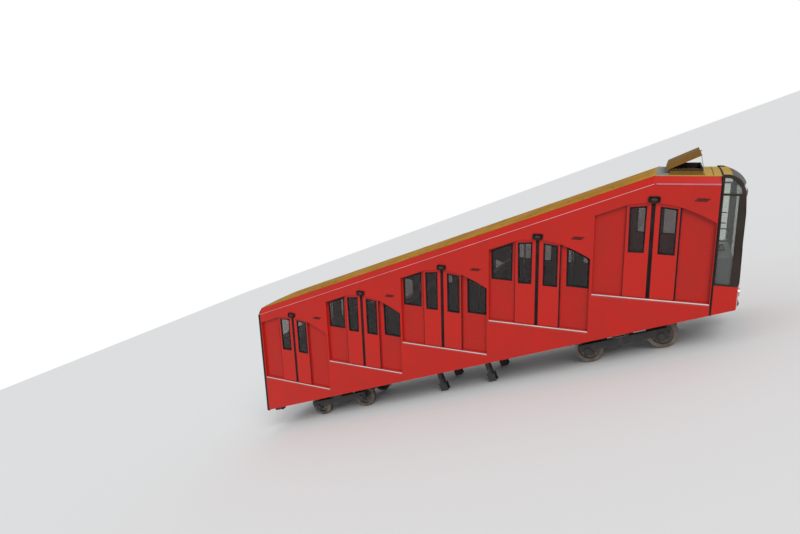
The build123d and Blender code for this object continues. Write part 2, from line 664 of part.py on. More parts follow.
NOSE_RAIL_Y = HALF - NOSE_RAIL / 2
nose_foot_bar = nose_front(0, NOSE_BAR, NOSE_GLASS_FOOT - NOSE_SILL, NOSE_GLASS_FOOT, NOSE_RAIL_Y)
nose_transom = nose_front(0, NOSE_GLASS_INSET - FIT, NOSE_TRANSOM, NOSE_TRANSOM + NOSE_TRANSOM_BAR,
                          NOSE_RAIL_Y)
with BuildPart() as nose_header:
    add(nose_front(0, NOSE_HEADER, NOSE_HEADER_FOOT, 2 * NOSE_TOP, NOSE_RAIL_Y))
    with BuildSketch(Plane.YZ.offset(ROOF_END + FIT)):
        Rectangle(2 * WIDTH, 4 * (TOP_SILL + NOSE_TOP))
    extrude(amount=-NOSE_BACK, mode=Mode.SUBTRACT)

nose_ring = nose_outline(0, SIDE_OVERHANG, NOSE_GLASS_FOOT - NOSE_SILL)
with BuildSketch() as nose_panes:
    add(nose_outline(NOSE_BAR, SIDE_OVERHANG + NOSE_POST, NOSE_GLASS_FOOT))
    with Locations((SIDE_OVERHANG, NOSE_TRANSOM)):
        Rectangle(NOSE_OVERHANG - SIDE_OVERHANG, NOSE_TRANSOM_BAR, align=(Align.MIN, Align.MIN),
                  mode=Mode.SUBTRACT)
    with Locations((NOSE_OVERHANG, NOSE_TRANSOM)):
        Rectangle(NOSE_CORNER, NOSE_TRANSOM, align=(Align.MAX, Align.MAX), mode=Mode.SUBTRACT)
with BuildPart() as nose_frame:
    for side, side_name in SIDES:
        with BuildSketch(side_plane(side)):
            with Locations((TOP_SEAM, TOP_SILL)):
                add(nose_ring)
                add(nose_panes.sketch, mode=Mode.SUBTRACT)
        extrude(amount=side * NOSE_RAIL)
    add(nose_header.part)
    add(nose_foot_bar)
    add(nose_transom)
save(nose_frame.part, "nose_frame")

nose_glass = nose_front(NOSE_GLASS_INSET, GLASS, NOSE_GLASS_FOOT, NOSE_HEADER_FOOT, HALF - NOSE_RAIL)
save(nose_glass, "nose_windscreen")

with BuildPart() as nose_side_glass:
    for side, side_name in SIDES:
        with BuildSketch(side_plane(side, (NOSE_RAIL - GLASS) / 2)):
            with Locations((TOP_SEAM, TOP_SILL)):
                add(nose_panes.sketch)
            offset(amount=-FIT)
        extrude(amount=side * GLASS)
save(nose_side_glass.part, "nose_side_glass")

NOSE_FOOT = sill_line(NOSE_END) - SKIRT_DROP - TOP_SILL
nose_apron_front = nose_front(0, APRON, NOSE_FOOT, NOSE_GLASS_FOOT - NOSE_SILL, HALF - APRON / 2)
with BuildPart() as nose_apron:
    add(nose_apron_front)
    for side, side_name in SIDES:
        with BuildSketch(side_plane(side)):
            with BuildLine():
                Polyline(
                    (SIDE_END, sill_line(SIDE_END) - SKIRT_DROP),
                    (NOSE_END, sill_line(NOSE_END) - SKIRT_DROP),
                    (NOSE_END, TOP_SILL + NOSE_GLASS_FOOT - NOSE_SILL),
                    (SIDE_END, TOP_SILL + NOSE_GLASS_FOOT - NOSE_SILL),
                    close=True,
                )
            make_face()
        extrude(amount=side * APRON)
    with BuildSketch(Plane.YZ.offset(NOSE_END - NOSE_BOW)):
        with Locations((-LAMP_ACROSS, TOP_SILL + UPPER_LAMP), (LAMP_ACROSS, TOP_SILL + UPPER_LAMP)):
            Circle(LAMP_RADIUS + FIT)
    extrude(amount=2 * NOSE_BOW, mode=Mode.SUBTRACT)
save(nose_apron.part, "nose_apron")

# Headlamps at both ends, each in its hole in the apron
LAMP_BOW = (LAMP_ACROSS**2 - HALF**2) / (2 * NOSE_RADIUS)
LAMPS = (
    ("lower_headlamps", LOWER_END - LAMP_OUT, LOW_SILL + LOWER_LAMP),
    ("upper_headlamps", NOSE_END - LAMP_BOW + LAMP_OUT - LAMP_DEPTH, TOP_SILL + UPPER_LAMP),
)
for lamp_name, start, height in LAMPS:
    with BuildPart() as lamps:
        with BuildSketch(Plane.YZ.offset(start)):
            with Locations((-LAMP_ACROSS, height), (LAMP_ACROSS, height)):
                Circle(LAMP_RADIUS)
        extrude(amount=LAMP_DEPTH)
    save(lamps.part, lamp_name)

# Plates that make the risers and stand on as screens between the compartments
with BuildPart() as screens:
    with BuildSketch(Plane.XZ):
        with Locations(*[(x, z - FLOOR) for x, z in STEP_EDGES]):
            Rectangle(SCREEN, FLOOR + RISE + SCREEN_HEIGHT, align=(Align.CENTER, Align.MIN))
    extrude(amount=WALL_INNER - FIT, both=True)
save(screens.part, "compartment_screens")

# Stepped floor between those plates; the top one runs on into the nose
FLOOR_STARTS = [CABIN_LOW] + [x + SCREEN / 2 for x, z in STEP_EDGES]
FLOOR_STOPS = [x - SCREEN / 2 for x, z in STEP_EDGES] + [SIDE_END]
NOSE_FLOOR = NOSE_END - APRON - POST_INSET
with BuildPart() as floor:
    with BuildSketch(Plane.XZ):
        for start, stop, (x, z) in zip(FLOOR_STARTS, FLOOR_STOPS, SEAMS):
            with Locations((start, z)):
                Rectangle(stop - start, FLOOR, align=(Align.MIN, Align.MAX))
    extrude(amount=WALL_INNER, both=True)
    with BuildSketch(Plane.XY.offset(TOP_SILL)):
        with BuildLine():
            Polyline((NOSE_FLOOR, -WALL_INNER), (SIDE_END, -WALL_INNER), (SIDE_END, WALL_INNER),
                     (NOSE_FLOOR, WALL_INNER))
            ThreePointArc((NOSE_FLOOR, WALL_INNER), (NOSE_FLOOR + NOSE_BOW, 0),
                          (NOSE_FLOOR, -WALL_INNER))
        make_face()
    extrude(amount=-FLOOR)
save(floor.part, "stepped_floor")

# Benches across the car: place of the back, sill, and the way the bench faces
BENCHES = [(x - SCREEN / 2, z, -1) for x, z in STEP_EDGES]
BENCHES += [(x + SCREEN / 2, z + RISE, 1) for x, z in STEP_EDGES]
with BuildPart() as benches:
    with BuildSketch(Plane.XZ):
        for x, z, way in BENCHES:
            side_of_back = Align.MIN if way > 0 else Align.MAX
            with Locations((x, z)):
                Rectangle(BENCH_BACK, BENCH_BACK_TOP, align=(side_of_back, Align.MIN))
                Rectangle(BENCH_BOX, BENCH_HEIGHT, align=(side_of_back, Align.MIN))
            with Locations((x, z + BENCH_HEIGHT)):
                Rectangle(BENCH_DEPTH, BENCH_SEAT, align=(side_of_back, Align.MAX))
    extrude(amount=BENCH_HALF_WIDTH, both=True)
save(benches.part, "benches")

# Grab poles from floor to roof beside the benches; none stands under the hatch
POLES = [(x + offset_x, z) for x, z in SEAMS for offset_x in (-POLE_OFFSET, POLE_OFFSET)][:-1]
with BuildPart() as poles:
    for x, z in POLES:
        low_edge = x - POLE_RADIUS
        ceiling = sill_line(low_edge) + CREASE + (SHOULDER + CROWN - SKIN) / COS
        with BuildSketch(Plane.XY.offset(z)):
            with Locations((x, 0)):
                Circle(POLE_RADIUS)
        extrude(amount=ceiling - FIT - z)
save(poles.part, "grab_poles")

# Driver's desks: the lower one inside the lower end, the upper one reaching into the nose
DESKS = (
    ("lower_desk", LOWER_DESK, CABIN_LOW, LOW_SILL),
    ("upper_desk", UPPER_DESK, TOP_SEAM, TOP_SILL),
)
for desk_name, outline, x, z in DESKS:
    with BuildSketch() as desk_side:
        with BuildLine():
            Polyline(*outline, close=True)
        make_face()
    with BuildPart() as desk:
        with BuildSketch(Plane.XZ):
            with Locations((x, z)):
                add(desk_side.sketch)
        extrude(amount=DESK_HALF_WIDTH, both=True)
    save(desk.part, desk_name)

# Underframe: two inclined beams, and two centre sills at the uphill end for the rope's pull
BEAM_INSIDE = BEAM_CENTRES - BEAM_WIDTH
BEAM_SPAN = BEAM_CENTRES + BEAM_WIDTH
SILL_START = BOGIE_PLACES[1] + BOLSTER / 2
SILL_STOP = CHASSIS_HIGH - CROSS_BEAM
CENTRE_SILLS = [(SILL_START, side * CHEEK_CENTRE) for side in (-1, 1)]
with BuildPart() as beams:
    with BuildSketch(TRACK.offset(BEAM_FOOT)):
        with Locations((CHASSIS_LOW, -BEAM_CENTRES / 2), (CHASSIS_LOW, BEAM_CENTRES / 2)):
            Rectangle(CHASSIS_HIGH - CHASSIS_LOW, BEAM_WIDTH, align=(Align.MIN, Align.CENTER))
        with Locations(*CENTRE_SILLS):
            Rectangle(SILL_STOP - SILL_START, CENTRE_SILL, align=(Align.MIN, Align.CENTER))
    extrude(amount=BEAM_HEIGHT)
save(beams.part, "chassis_beams")

# Between the beams: headstocks, cross beams, and bolsters with the bogie pins below them.
# Outriggers go on from the beams to the skirts.
HEADSTOCKS = (CHASSIS_LOW + CROSS_BEAM / 2, CHASSIS_HIGH - CROSS_BEAM / 2)
OUTRIGGERS = [TRACK.to_local_coords(Vector(x + OUTRIGGER_OFFSET, 0, z)).X for x, z in SEAMS]
OUTRIGGER_LENGTH = HALF - SKIN - BEAM_SPAN / 2
OUTRIGGER_Y = (BEAM_SPAN + OUTRIGGER_LENGTH) / 2
with BuildPart() as cross_members:
    with BuildSketch(TRACK.offset(BEAM_FOOT)):
        with Locations(*[(u, 0) for u in (*HEADSTOCKS, *RAIL_BRAKE_PLACES, *OUTRIGGERS)]):
            Rectangle(CROSS_BEAM, BEAM_INSIDE)
        with Locations(*[(u, 0) for u in BOGIE_PLACES]):
            Rectangle(BOLSTER, BEAM_INSIDE)
        with Locations(*[(u, side * OUTRIGGER_Y) for u in OUTRIGGERS for side in (-1, 1)]):
            Rectangle(CROSS_BEAM, OUTRIGGER_LENGTH)
        with Locations(*CENTRE_SILLS):
            Rectangle(SILL_STOP - SILL_START, CENTRE_SILL, align=(Align.MIN, Align.CENTER),
                      mode=Mode.SUBTRACT)
    extrude(amount=BEAM_HEIGHT)
    with BuildSketch(TRACK.offset(PIVOT_FOOT)):
        with Locations(*[(u, 0) for u in BOGIE_PLACES]):
            Circle(PIVOT_RADIUS)
    extrude(amount=BEAM_FOOT - PIVOT_FOOT)
save(cross_members.part, "cross_members")

# Posts from the beams up to the floors, their feet cut to the slope
BEAM_BELOW_SILL = SILL_OVER_RAIL - BEAM_TOP / COS
with BuildPart() as posts:
    for x, z in SEAMS:
        for post_offset in POST_OFFSETS:
            across = [(x + post_offset, side * BEAM_CENTRES / 2) for side in (-1, 1)]
            with BuildSketch(Plane.XY.offset(z - FLOOR)):
                with Locations(*across):
                    Rectangle(POST_SIDE, POST_SIDE)
            extrude(amount=post_offset * GRADE + FLOOR - BEAM_BELOW_SILL - POST_SIDE)
    with BuildSketch(TRACK.offset(BEAM_TOP)):
        with Locations((CHASSIS_LOW - POST_SIDE, 0)):
            Rectangle(CHASSIS_HIGH - CHASSIS_LOW + 2 * POST_SIDE, WIDTH, align=(Align.MIN, Align.CENTER))
    extrude(amount=-BEAM_HEIGHT, mode=Mode.SUBTRACT)
save(posts.part, "floor_posts")

# Bogies: side beams with axleboxes, a bolster with the pivot bore, and pads under the beams
for bogie_name, place in zip(("lower_bogie_frame", "upper_bogie_frame"), BOGIE_PLACES):
    axles = [(place - WHEELBASE / 2, WHEEL_RADIUS), (place + WHEELBASE / 2, WHEEL_RADIUS)]
    with BuildPart() as bogie:
        with BuildSketch(TRACK.offset(WHEEL_RADIUS)):
            with Locations((place, -BEAM_CENTRES / 2), (place, BEAM_CENTRES / 2)):
                Rectangle(WHEELBASE + 2 * BOGIE_OVERHANG, BEAM_WIDTH)
        extrude(amount=BOGIE_BEAM)
        with BuildSketch(TRACK.offset(WHEEL_RADIUS - AXLEBOX / 2)):
            with Locations(*[(u, y * BEAM_CENTRES / 2) for u, w in axles for y in (-1, 1)]):
                Rectangle(AXLEBOX, BEAM_WIDTH)
        extrude(amount=AXLEBOX)
        with BuildSketch(TRACK.offset(BOLSTER_FOOT)):
            with Locations((place, 0)):
                Rectangle(BOLSTER, BEAM_SPAN)
        extrude(amount=BOLSTER_HEIGHT)
        with BuildSketch(TRACK.offset(BOGIE_BEAM_TOP)):
            with Locations((place, -BEAM_CENTRES / 2), (place, BEAM_CENTRES / 2)):
                Rectangle(PAD, BEAM_WIDTH)
        extrude(amount=BEAM_FOOT - BOGIE_BEAM_TOP - FIT)
        with BuildSketch(TRACK_SIDE):
            with Locations(*axles):
                Circle(JOURNAL_RADIUS + FIT)
        extrude(amount=HALF, both=True, mode=Mode.SUBTRACT)
        with BuildSketch(TRACK):
            with Locations((place, 0)):
                Circle(PIVOT_RADIUS + FIT)
        extrude(amount=BEAM_FOOT, mode=Mode.SUBTRACT)
    save(bogie.part, bogie_name)

# Wheelsets: bands as (from, to, inner radius, outer radius), across the car from its middle.
# The right wheel has two flanges, the left one is a plain wide drum.
RAIL = GAUGE_CENTRES / 2
BANDS = (
    (-JOURNAL_END, JOURNAL_END, 0, JOURNAL_RADIUS),
    (-RAIL - 110, RAIL + 110, 0, AXLE_RADIUS),
    (-RAIL - 60, -RAIL + 60, 0, 100),
    (-RAIL - 15, -RAIL + 15, 0, 250),
    (-RAIL - 37, -RAIL + 37, 240, WHEEL_RADIUS),
    (-RAIL - 62, -RAIL - 37, 240, WHEEL_RADIUS + FLANGE),
    (-RAIL + 37, -RAIL + 62, 240, WHEEL_RADIUS + FLANGE),
    (RAIL - 60, RAIL + 60, 0, 100),
    (RAIL - 15, RAIL + 15, 0, 250),
    (RAIL - 100, RAIL + 100, 240, WHEEL_RADIUS),
)
AXLES = [place + way * WHEELBASE / 2 for place in BOGIE_PLACES for way in (-1, 1)]
for number, place in enumerate(AXLES, 1):
    centre = TRACK.from_local_coords((place, 0, WHEEL_RADIUS))
    with BuildPart() as wheelset:
        with BuildSketch(Plane(origin=centre, x_dir=(0, 1, 0), z_dir=(COS, 0, SIN))):
            for start, end, inner, outer in BANDS:
                with Locations((start, inner)):
                    Rectangle(end - start, outer - inner, align=(Align.MIN, Align.MIN))
        revolve(axis=Axis(centre, (0, 1, 0)))
    save(wheelset.part, f"wheelset_{number}")

# Rail brakes: a beam under the underframe and a pair of jaws astride each rail
JAWS = [rail * RAIL + jaw * JAW_CENTRE for rail in (-1, 1) for jaw in (-1, 1)]
with BuildPart() as rail_brakes:
    for place in RAIL_BRAKE_PLACES:
        with BuildSketch(TRACK.offset(BEAM_FOOT)):
            with Locations((place, 0)):
                Rectangle(CROSS_BEAM, BEAM_SPAN)
        extrude(amount=-BEAM_WIDTH)
        with BuildSketch(TRACK.offset(RAIL_BRAKE_FOOT)):
            with Locations(*[(place, y) for y in JAWS]):
                Rectangle(PAD, JAW)
        extrude(amount=AXLEBOX)
        with BuildSketch(TRACK.offset(RAIL_BRAKE_FOOT)):
            with Locations(*[(place, y) for y in JAWS]):
                Rectangle(CROSS_BEAM, JAW)
        extrude(amount=BEAM_FOOT - BEAM_WIDTH / 2 - RAIL_BRAKE_FOOT)
save(rail_brakes.part, "rail_brakes")

# Haul rope anchor: two cheeks with the pin's bore, under a plate below the centre sills
with BuildPart() as anchor:
    for side in (-1, 1):
        with BuildSketch(TRACK_SIDE.offset(side * CHEEK_CENTRE - CHEEK / 2)):
            with BuildLine():
                Polyline(
                    (CHASSIS_HIGH - CHEEK_ROOT, BEAM_FOOT),
                    (CHASSIS_HIGH, BEAM_FOOT),
                    (0, ANCHOR_OVER_RAIL + ANCHOR_EYE),
                    (0, ANCHOR_OVER_RAIL - ANCHOR_EYE),
                    (CHASSIS_HIGH - CHEEK_THROAT[0], BEAM_FOOT - CHEEK_THROAT[1]),
                    close=True,
                )
            make_face()
            with Locations((0, ANCHOR_OVER_RAIL)):
                Circle(ANCHOR_EYE)
                Circle(ANCHOR_BORE, mode=Mode.SUBTRACT)
        extrude(amount=CHEEK)
    with BuildSketch(TRACK.offset(BEAM_FOOT)):
        with Locations((CHASSIS_HIGH, 0)):
            Rectangle(CHEEK_ROOT, 4 * CHEEK_CENTRE, align=(Align.MAX, Align.CENTER))
    extrude(amount=-CHEEK)
save(anchor.part, "haul_rope_anchor")

# Buffers at the lower end, on plates under the headstock
with BuildPart() as buffers:
    for y in (-BEAM_CENTRES / 2, BEAM_CENTRES / 2):
        with BuildSketch(TRACK.offset(BEAM_FOOT)):
            with Locations((CHASSIS_LOW, y)):
                Rectangle(BUFFER_PLATE, 2 * BUFFER_RADIUS, align=(Align.MIN, Align.CENTER))
        extrude(amount=BUFFER_HEIGHT - BUFFER_RADIUS - BEAM_FOOT)
        face = TRACK.from_local_coords((CHASSIS_LOW, y, BUFFER_HEIGHT))
        with BuildSketch(Plane(origin=face, x_dir=(0, 1, 0), z_dir=(-COS, 0, -SIN))):
            Circle(BUFFER_RADIUS)
        extrude(amount=BUFFER_LENGTH)
save(buffers.part, "lower_buffers")
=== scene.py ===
"""Funicular car: materials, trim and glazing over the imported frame, in metres.

+X is level and uphill, +Y is the car's left side and +Z is up. The floors are level, and the
wheels stand on a line that rises uphill.
"""

import json
from math import atan2, cos, pi, sin, sqrt

import bpy
from mathutils import Matrix, Vector


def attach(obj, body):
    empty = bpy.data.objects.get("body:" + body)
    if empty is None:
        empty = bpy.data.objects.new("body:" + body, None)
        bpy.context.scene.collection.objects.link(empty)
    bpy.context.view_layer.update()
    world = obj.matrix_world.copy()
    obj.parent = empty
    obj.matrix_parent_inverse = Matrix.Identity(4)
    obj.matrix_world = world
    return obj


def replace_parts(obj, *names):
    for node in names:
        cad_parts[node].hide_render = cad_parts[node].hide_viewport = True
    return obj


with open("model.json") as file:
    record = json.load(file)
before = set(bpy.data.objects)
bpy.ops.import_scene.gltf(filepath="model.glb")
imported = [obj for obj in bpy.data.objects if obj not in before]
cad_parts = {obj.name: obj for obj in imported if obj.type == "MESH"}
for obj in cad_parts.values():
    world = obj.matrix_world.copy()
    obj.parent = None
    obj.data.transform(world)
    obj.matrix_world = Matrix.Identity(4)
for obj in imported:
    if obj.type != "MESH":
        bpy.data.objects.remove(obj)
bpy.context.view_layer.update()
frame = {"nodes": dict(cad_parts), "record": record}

# Sizes repeated from the solids
PITCH = 2.282  # from one door seam to the next, along the level
RISE = 0.865  # from one sill to the next
SLOPE = atan2(RISE, PITCH)
GRADE = RISE / PITCH
TOP_SEAM = -1.670
HALF = 1.200  # half the body's width
SKIN = 0.025
LEAF = 0.036
LEAF_GAP = 0.006
WALL = 0.035
WALL_OUTER = HALF - SKIN - LEAF - 2 * LEAF_GAP
WALL_INNER = WALL_OUTER - WALL
ANCHOR_UP = 0.450  # the rope anchor's pin over the rails
SILLS_UP = 1.400  # the line of the sills over the rails
SIDES = (("right", -1), ("left", 1))


def sill_line(x):
    """Height of the line through all the sills."""
    return x * GRADE - ANCHOR_UP / cos(SLOPE) + SILLS_UP


SEAMS = [(TOP_SEAM - k * PITCH, sill_line(TOP_SEAM - k * PITCH)) for k in reversed(range(5))]
GLAZED = (1, 2, 3)  # bays with windows beside their doors
LOW_SILL = SEAMS[0][1]
TOP_SILL = SEAMS[-1][1]
EAVES = 2.510  # over the line of the sills
LEVEL_EAVES = 2.495  # over the top sill
SHOULDER = 0.160  # from the crease in the sides up to the eaves
CROWN = 0.045
LOWER_END = SEAMS[0][0] - 1.200
SIDE_END = TOP_SEAM + 1.158
NOSE_END = TOP_SEAM + 1.590
CREASE = EAVES - SHOULDER / cos(SLOPE)
LEVEL_TOP = TOP_SILL + LEVEL_EAVES
LEVEL_CREASE = LEVEL_TOP - SHOULDER
KNEE = TOP_SEAM + (LEVEL_CREASE - TOP_SILL - CREASE) / GRADE
ROOF_CROWN = LEVEL_TOP + CROWN
EAVES_Y = HALF - 0.080
SKIRT_DROP = 0.700
STEP_EDGES = [(x + 1.150, z) for x, z in SEAMS[:-1]]
BOGIES = (("lower", -10.400), ("upper", -2.300))
AXLE_SPREAD = 0.800  # from a bogie's middle to its axles
AXLE_HEIGHT = 0.300
RAIL = 0.530  # from the car's middle to a rail
BEAM_Y = 0.710
BEAM_FACE = 0.760
RAIL_BRAKES = (-7.050, -5.650)


def on_track(u, w):
    """Place at u along the rails and w above them, both from the rope anchor."""
    return (ANCHOR_UP * sin(SLOPE) + u * cos(SLOPE) - w * sin(SLOPE),
            -ANCHOR_UP * cos(SLOPE) + u * sin(SLOPE) + w * cos(SLOPE))


def off_track(x, z):
    """The same the other way: along the rails, and above them."""
    x -= ANCHOR_UP * sin(SLOPE)
    z += ANCHOR_UP * cos(SLOPE)
    return x * cos(SLOPE) + z * sin(SLOPE), z * cos(SLOPE) - x * sin(SLOPE)


# Camera, at the place from which the car was seen; its turn is an axis as long as the angle
camera_data = bpy.data.cameras.new("camera")
camera_data.sensor_width = 36
camera_data.lens = 25.62
camera = bpy.data.objects.new("camera", camera_data)
bpy.context.collection.objects.link(camera)
turn = Vector((0.24386508, 0.45339749, 0.0202903))
upright = Matrix(((1, 0, 0), (0, 0, -1), (0, 1, 0)))
seen = Matrix.Rotation(turn.length, 3, turn.normalized()) @ upright
camera.matrix_world = (
    Matrix.Translation((-1.235, -13.515, 3.872))
    @ Matrix((seen[0], -seen[1], -seen[2])).transposed().to_4x4()
)
bpy.context.scene.camera = camera
bpy.context.scene.view_settings.view_transform = "Standard"


# Modelling tools

def pick_only(*pieces):
    bpy.ops.object.select_all(action="DESELECT")
    for piece in pieces:
        piece.select_set(True)
    bpy.context.view_layer.objects.active = pieces[0]


def settle(piece):
    """Put the piece's place into its mesh."""
    pick_only(piece)
    bpy.ops.object.transform_apply(location=True, rotation=True, scale=True)


def started(name):
    piece = bpy.context.object
    piece.name = name
    piece.data.name = name
    settle(piece)
    return piece


def block(name, low, high):
    """A box between two corners, to be shaped further."""
    bpy.ops.object.select_all(action="DESELECT")
    middle = [(a + b) / 2 for a, b in zip(low, high)]
    bpy.ops.mesh.primitive_cube_add(size=1, location=middle,
                                    scale=[b - a for a, b in zip(low, high)])
    return started(name)


def rod(name, start, end, radius, sides=16):
    """A round bar from start to end."""
    start, end = Vector(start), Vector(end)
    along = end - start
    bpy.ops.object.select_all(action="DESELECT")
    bpy.ops.mesh.primitive_cylinder_add(
        vertices=sides, radius=radius, depth=along.length, location=(start + end) / 2,
        rotation=along.to_track_quat("Z", "Y").to_euler())
    return started(name)


def edit(piece, part="SELECT"):
    pick_only(piece)
    bpy.ops.object.mode_set(mode="EDIT")
    bpy.ops.mesh.select_all(action=part)


def leave():
    bpy.ops.object.mode_set(mode="OBJECT")


def leave_facing_out():
    bpy.ops.mesh.select_all(action="SELECT")
    bpy.ops.mesh.normals_make_consistent(inside=False)
    leave()


def edit_faces(piece, wanted):
    """Enter edit mode with the faces picked whose middle and normal pass the test."""
    edit(piece, "DESELECT")
    bpy.ops.mesh.select_mode(type="FACE")
    leave()
    for face in piece.data.polygons:
        face.select = wanted(face.center, face.normal)
    bpy.ops.object.mode_set(mode="EDIT")


def modify(piece, kind, **settings):
    pick_only(piece)
    modifier = piece.modifiers.new(kind.lower(), kind)
    for key, value in settings.items():
        setattr(modifier, key, value)
    bpy.ops.object.modifier_apply(modifier=modifier.name)


def eased(piece, width=0.002, segments=2):
    """Round the edges a little and shade them."""
    modify(piece, "BEVEL", width=width, segments=segments, limit_method="ANGLE")
    pick_only(piece)
    bpy.ops.object.shade_smooth_by_angle(angle=0.6)
    return piece


def joined(name, pieces):
    pick_only(*pieces)
    bpy.ops.object.join()
    piece = bpy.context.object
    piece.name = name
    piece.data.name = name
    return piece


def repeated(piece, offsets):
    """Copies of the whole mesh inside the piece, each moved by its offset from the first."""
    parts = [piece]
    for offset in offsets:
        pick_only(piece)
        bpy.ops.object.duplicate()
        bpy.context.object.location = offset
        settle(bpy.context.object)
        parts.append(bpy.context.object)
    return joined(piece.name, parts)


def moved_copy(piece, name, offset, mirrored=False):
    """A copy with its own mesh, moved, and turned over to the left side where wanted."""
    pick_only(piece)
    bpy.ops.object.duplicate()
    copy = bpy.context.object
    copy.name = name
    copy.data.name = name
    copy.location = offset
    settle(copy)
    if mirrored:
        copy.scale = (1, -1, 1)
        settle(copy)
        edit(copy)
        leave_facing_out()
    return copy


def side_face(name, points, y):
    """A flat face in the side's plane, trimmed to a convex outline of (x, z) points."""
    xs = [x for x, z in points]
    zs = [z for x, z in points]
    middle = Vector((sum(xs) / len(xs), y, sum(zs) / len(zs)))
    bpy.ops.object.select_all(action="DESELECT")
    bpy.ops.mesh.primitive_plane_add(size=4 * max(max(xs) - min(xs), max(zs) - min(zs)),
                                     location=middle, rotation=(pi / 2, 0, 0))
    piece = started(name)
    edit(piece)
    for (x0, z0), (x1, z1) in zip(points, points[1:] + points[:1]):
        across = Vector((z1 - z0, 0, x0 - x1)).normalized()
        edge = Vector((x0, y, z0))
        if across.dot(middle - edge) > 0:
            across.negate()
        bpy.ops.mesh.select_all(action="SELECT")
        bpy.ops.mesh.bisect(plane_co=edge, plane_no=across, clear_outer=True)
    leave()
    return piece


def thickened(piece, depth):
    """Give a flat face or ring in the side's plane its depth towards the car's middle."""
    edit(piece)
    bpy.ops.mesh.extrude_region_move(TRANSFORM_OT_translate={"value": (0, depth, 0)})
    leave_facing_out()
    return piece


def glazing_ring(name, points, y, width, depth, radius):
    """A rubber frame that fills a window's edge, with rounded inner corners."""
    piece = side_face(name, points, y)
    edit_faces(piece, lambda centre, normal: True)
    bpy.ops.mesh.inset(thickness=width)
    bpy.ops.mesh.bevel(affect="VERTICES", offset=radius, segments=4)
    leave()
    opening = max(piece.data.polygons, key=lambda face: face.area).center.copy()
    edit_faces(piece, lambda centre, normal: centre == opening)
    bpy.ops.mesh.delete(type="FACE")
    leave()
    return thickened(piece, depth)


FACING = {"X": (pi / 2, 0, pi / 2), "Y": (pi / 2, 0, 0), "Z": (0, 0, 0)}


def run_of(name, points, width, height, facing="X"):
    """A bar through the given points, its section kept square to one axis."""
    start = Vector(points[0])
    bpy.ops.object.select_all(action="DESELECT")
    bpy.ops.mesh.primitive_plane_add(size=1, location=start, rotation=FACING[facing])
    piece = bpy.context.object
    piece.scale = (width, height, 1)
    piece = started(name)
    edit(piece)
    bpy.ops.mesh.select_mode(type="FACE")
    for here, there in zip(points, points[1:]):
        bpy.ops.mesh.extrude_region_move(
            TRANSFORM_OT_translate={"value": Vector(there) - Vector(here)})
    leave_facing_out()
    return piece


def hoop(name, centre, radius, width, thick, facing="Y", sides=48):
    """A band round an axis, its outer face at the radius."""
    bpy.ops.object.select_all(action="DESELECT")
    turned = {"X": (0, pi / 2, 0), "Y": (pi / 2, 0, 0), "Z": (0, 0, 0)}[facing]
    bpy.ops.mesh.primitive_cylinder_add(
        vertices=sides, radius=radius, depth=width, location=centre, rotation=turned,
        end_fill_type="NOTHING")
    piece = started(name)
    modify(piece, "SOLIDIFY", thickness=thick, offset=-1)
    return piece


def strip_round(name, x, width, path, thick):
    """A strip laid round the body through (y, z) points, half its thickness proud."""
    y, z = path[0]
    bpy.ops.object.select_all(action="DESELECT")
    bpy.ops.mesh.primitive_plane_add(size=width, location=(x, y + width / 2, z))
    piece = started(name)
    edit(piece, "DESELECT")
    bpy.ops.mesh.select_mode(type="VERT")
    leave()
    for point in piece.data.vertices:
        point.select = point.co.y > y + width / 2
    bpy.ops.object.mode_set(mode="EDIT")
    bpy.ops.mesh.delete(type="VERT")
    bpy.ops.mesh.select_all(action="SELECT")
    for (y0, z0), (y1, z1) in zip(path, path[1:]):
        bpy.ops.mesh.extrude_region_move(
            TRANSFORM_OT_translate={"value": (0, y1 - y0, z1 - z0)})
    leave()
    modify(piece, "SOLIDIFY", thickness=thick, offset=0)
    edit(piece)
    leave_facing_out()
    return piece


def roof_path(eaves, steps=16):
    """Points across the roof from one eaves to the other."""
    across = [EAVES_Y * (2 * k / steps - 1) for k in range(steps + 1)]
    return [(y, eaves + CROWN * (1 - (y / EAVES_Y) ** 2)) for y in across]


def laid_on_track(piece):
    """Bring a piece modelled along the rails, and square to them, to its slope and place."""
    piece.rotation_euler = (0, -SLOPE, 0)
    piece.location = (ANCHOR_UP * sin(SLOPE), 0, -ANCHOR_UP * cos(SLOPE))
    settle(piece)
    return piece


def round_plate(name, points, y, depth, radius):
    """A plate in the side's plane with rounded corners."""
    piece = side_face(name, points, y)
    edit(piece)
    bpy.ops.mesh.bevel(affect="VERTICES", offset=radius, segments=5)
    leave()
    return thickened(piece, depth)


def sunk(piece, wanted, border, push):
    """Inset the faces that pass the test by a border, and move what is inside it."""
    edit_faces(piece, wanted)
    bpy.ops.mesh.inset(thickness=border)
    bpy.ops.transform.translate(value=push)
    leave()
    return piece


def bolt_heads(name, places, radius=0.012, height=0.009, way=(0, -1, 0)):
    """Hexagon heads standing on a face, at the given places."""
    first, way = Vector(places[0]), Vector(way)
    head = eased(rod(name, first - 0.002 * way, first + height * way, radius, 6), 0.0015)
    return repeated(head, [Vector(place) - first for place in places[1:]])


# Effects that several finishes share

COLOUR = "NodeSocketColor"
NUMBER = "NodeSocketFloat"
FINISHES = {}


def effect(name, inputs):
    """An empty effect: a place, its own inputs and a range of roughness in, a surface out."""
    tree = bpy.data.node_groups.new(name, "ShaderNodeTree")
    inputs = {"Place": "NodeSocketVector", **inputs, "Smooth": NUMBER, "Rough": NUMBER}
    outputs = {"Colour": COLOUR, "Roughness": NUMBER, "Relief": NUMBER}
    for way, sockets in (("INPUT", inputs), ("OUTPUT", outputs)):
        for label, kind in sockets.items():
            tree.interface.new_socket(name=label, in_out=way, socket_type=kind)
    return (tree, tree.nodes.new("NodeGroupInput").outputs,
            tree.nodes.new("NodeGroupOutput").inputs)


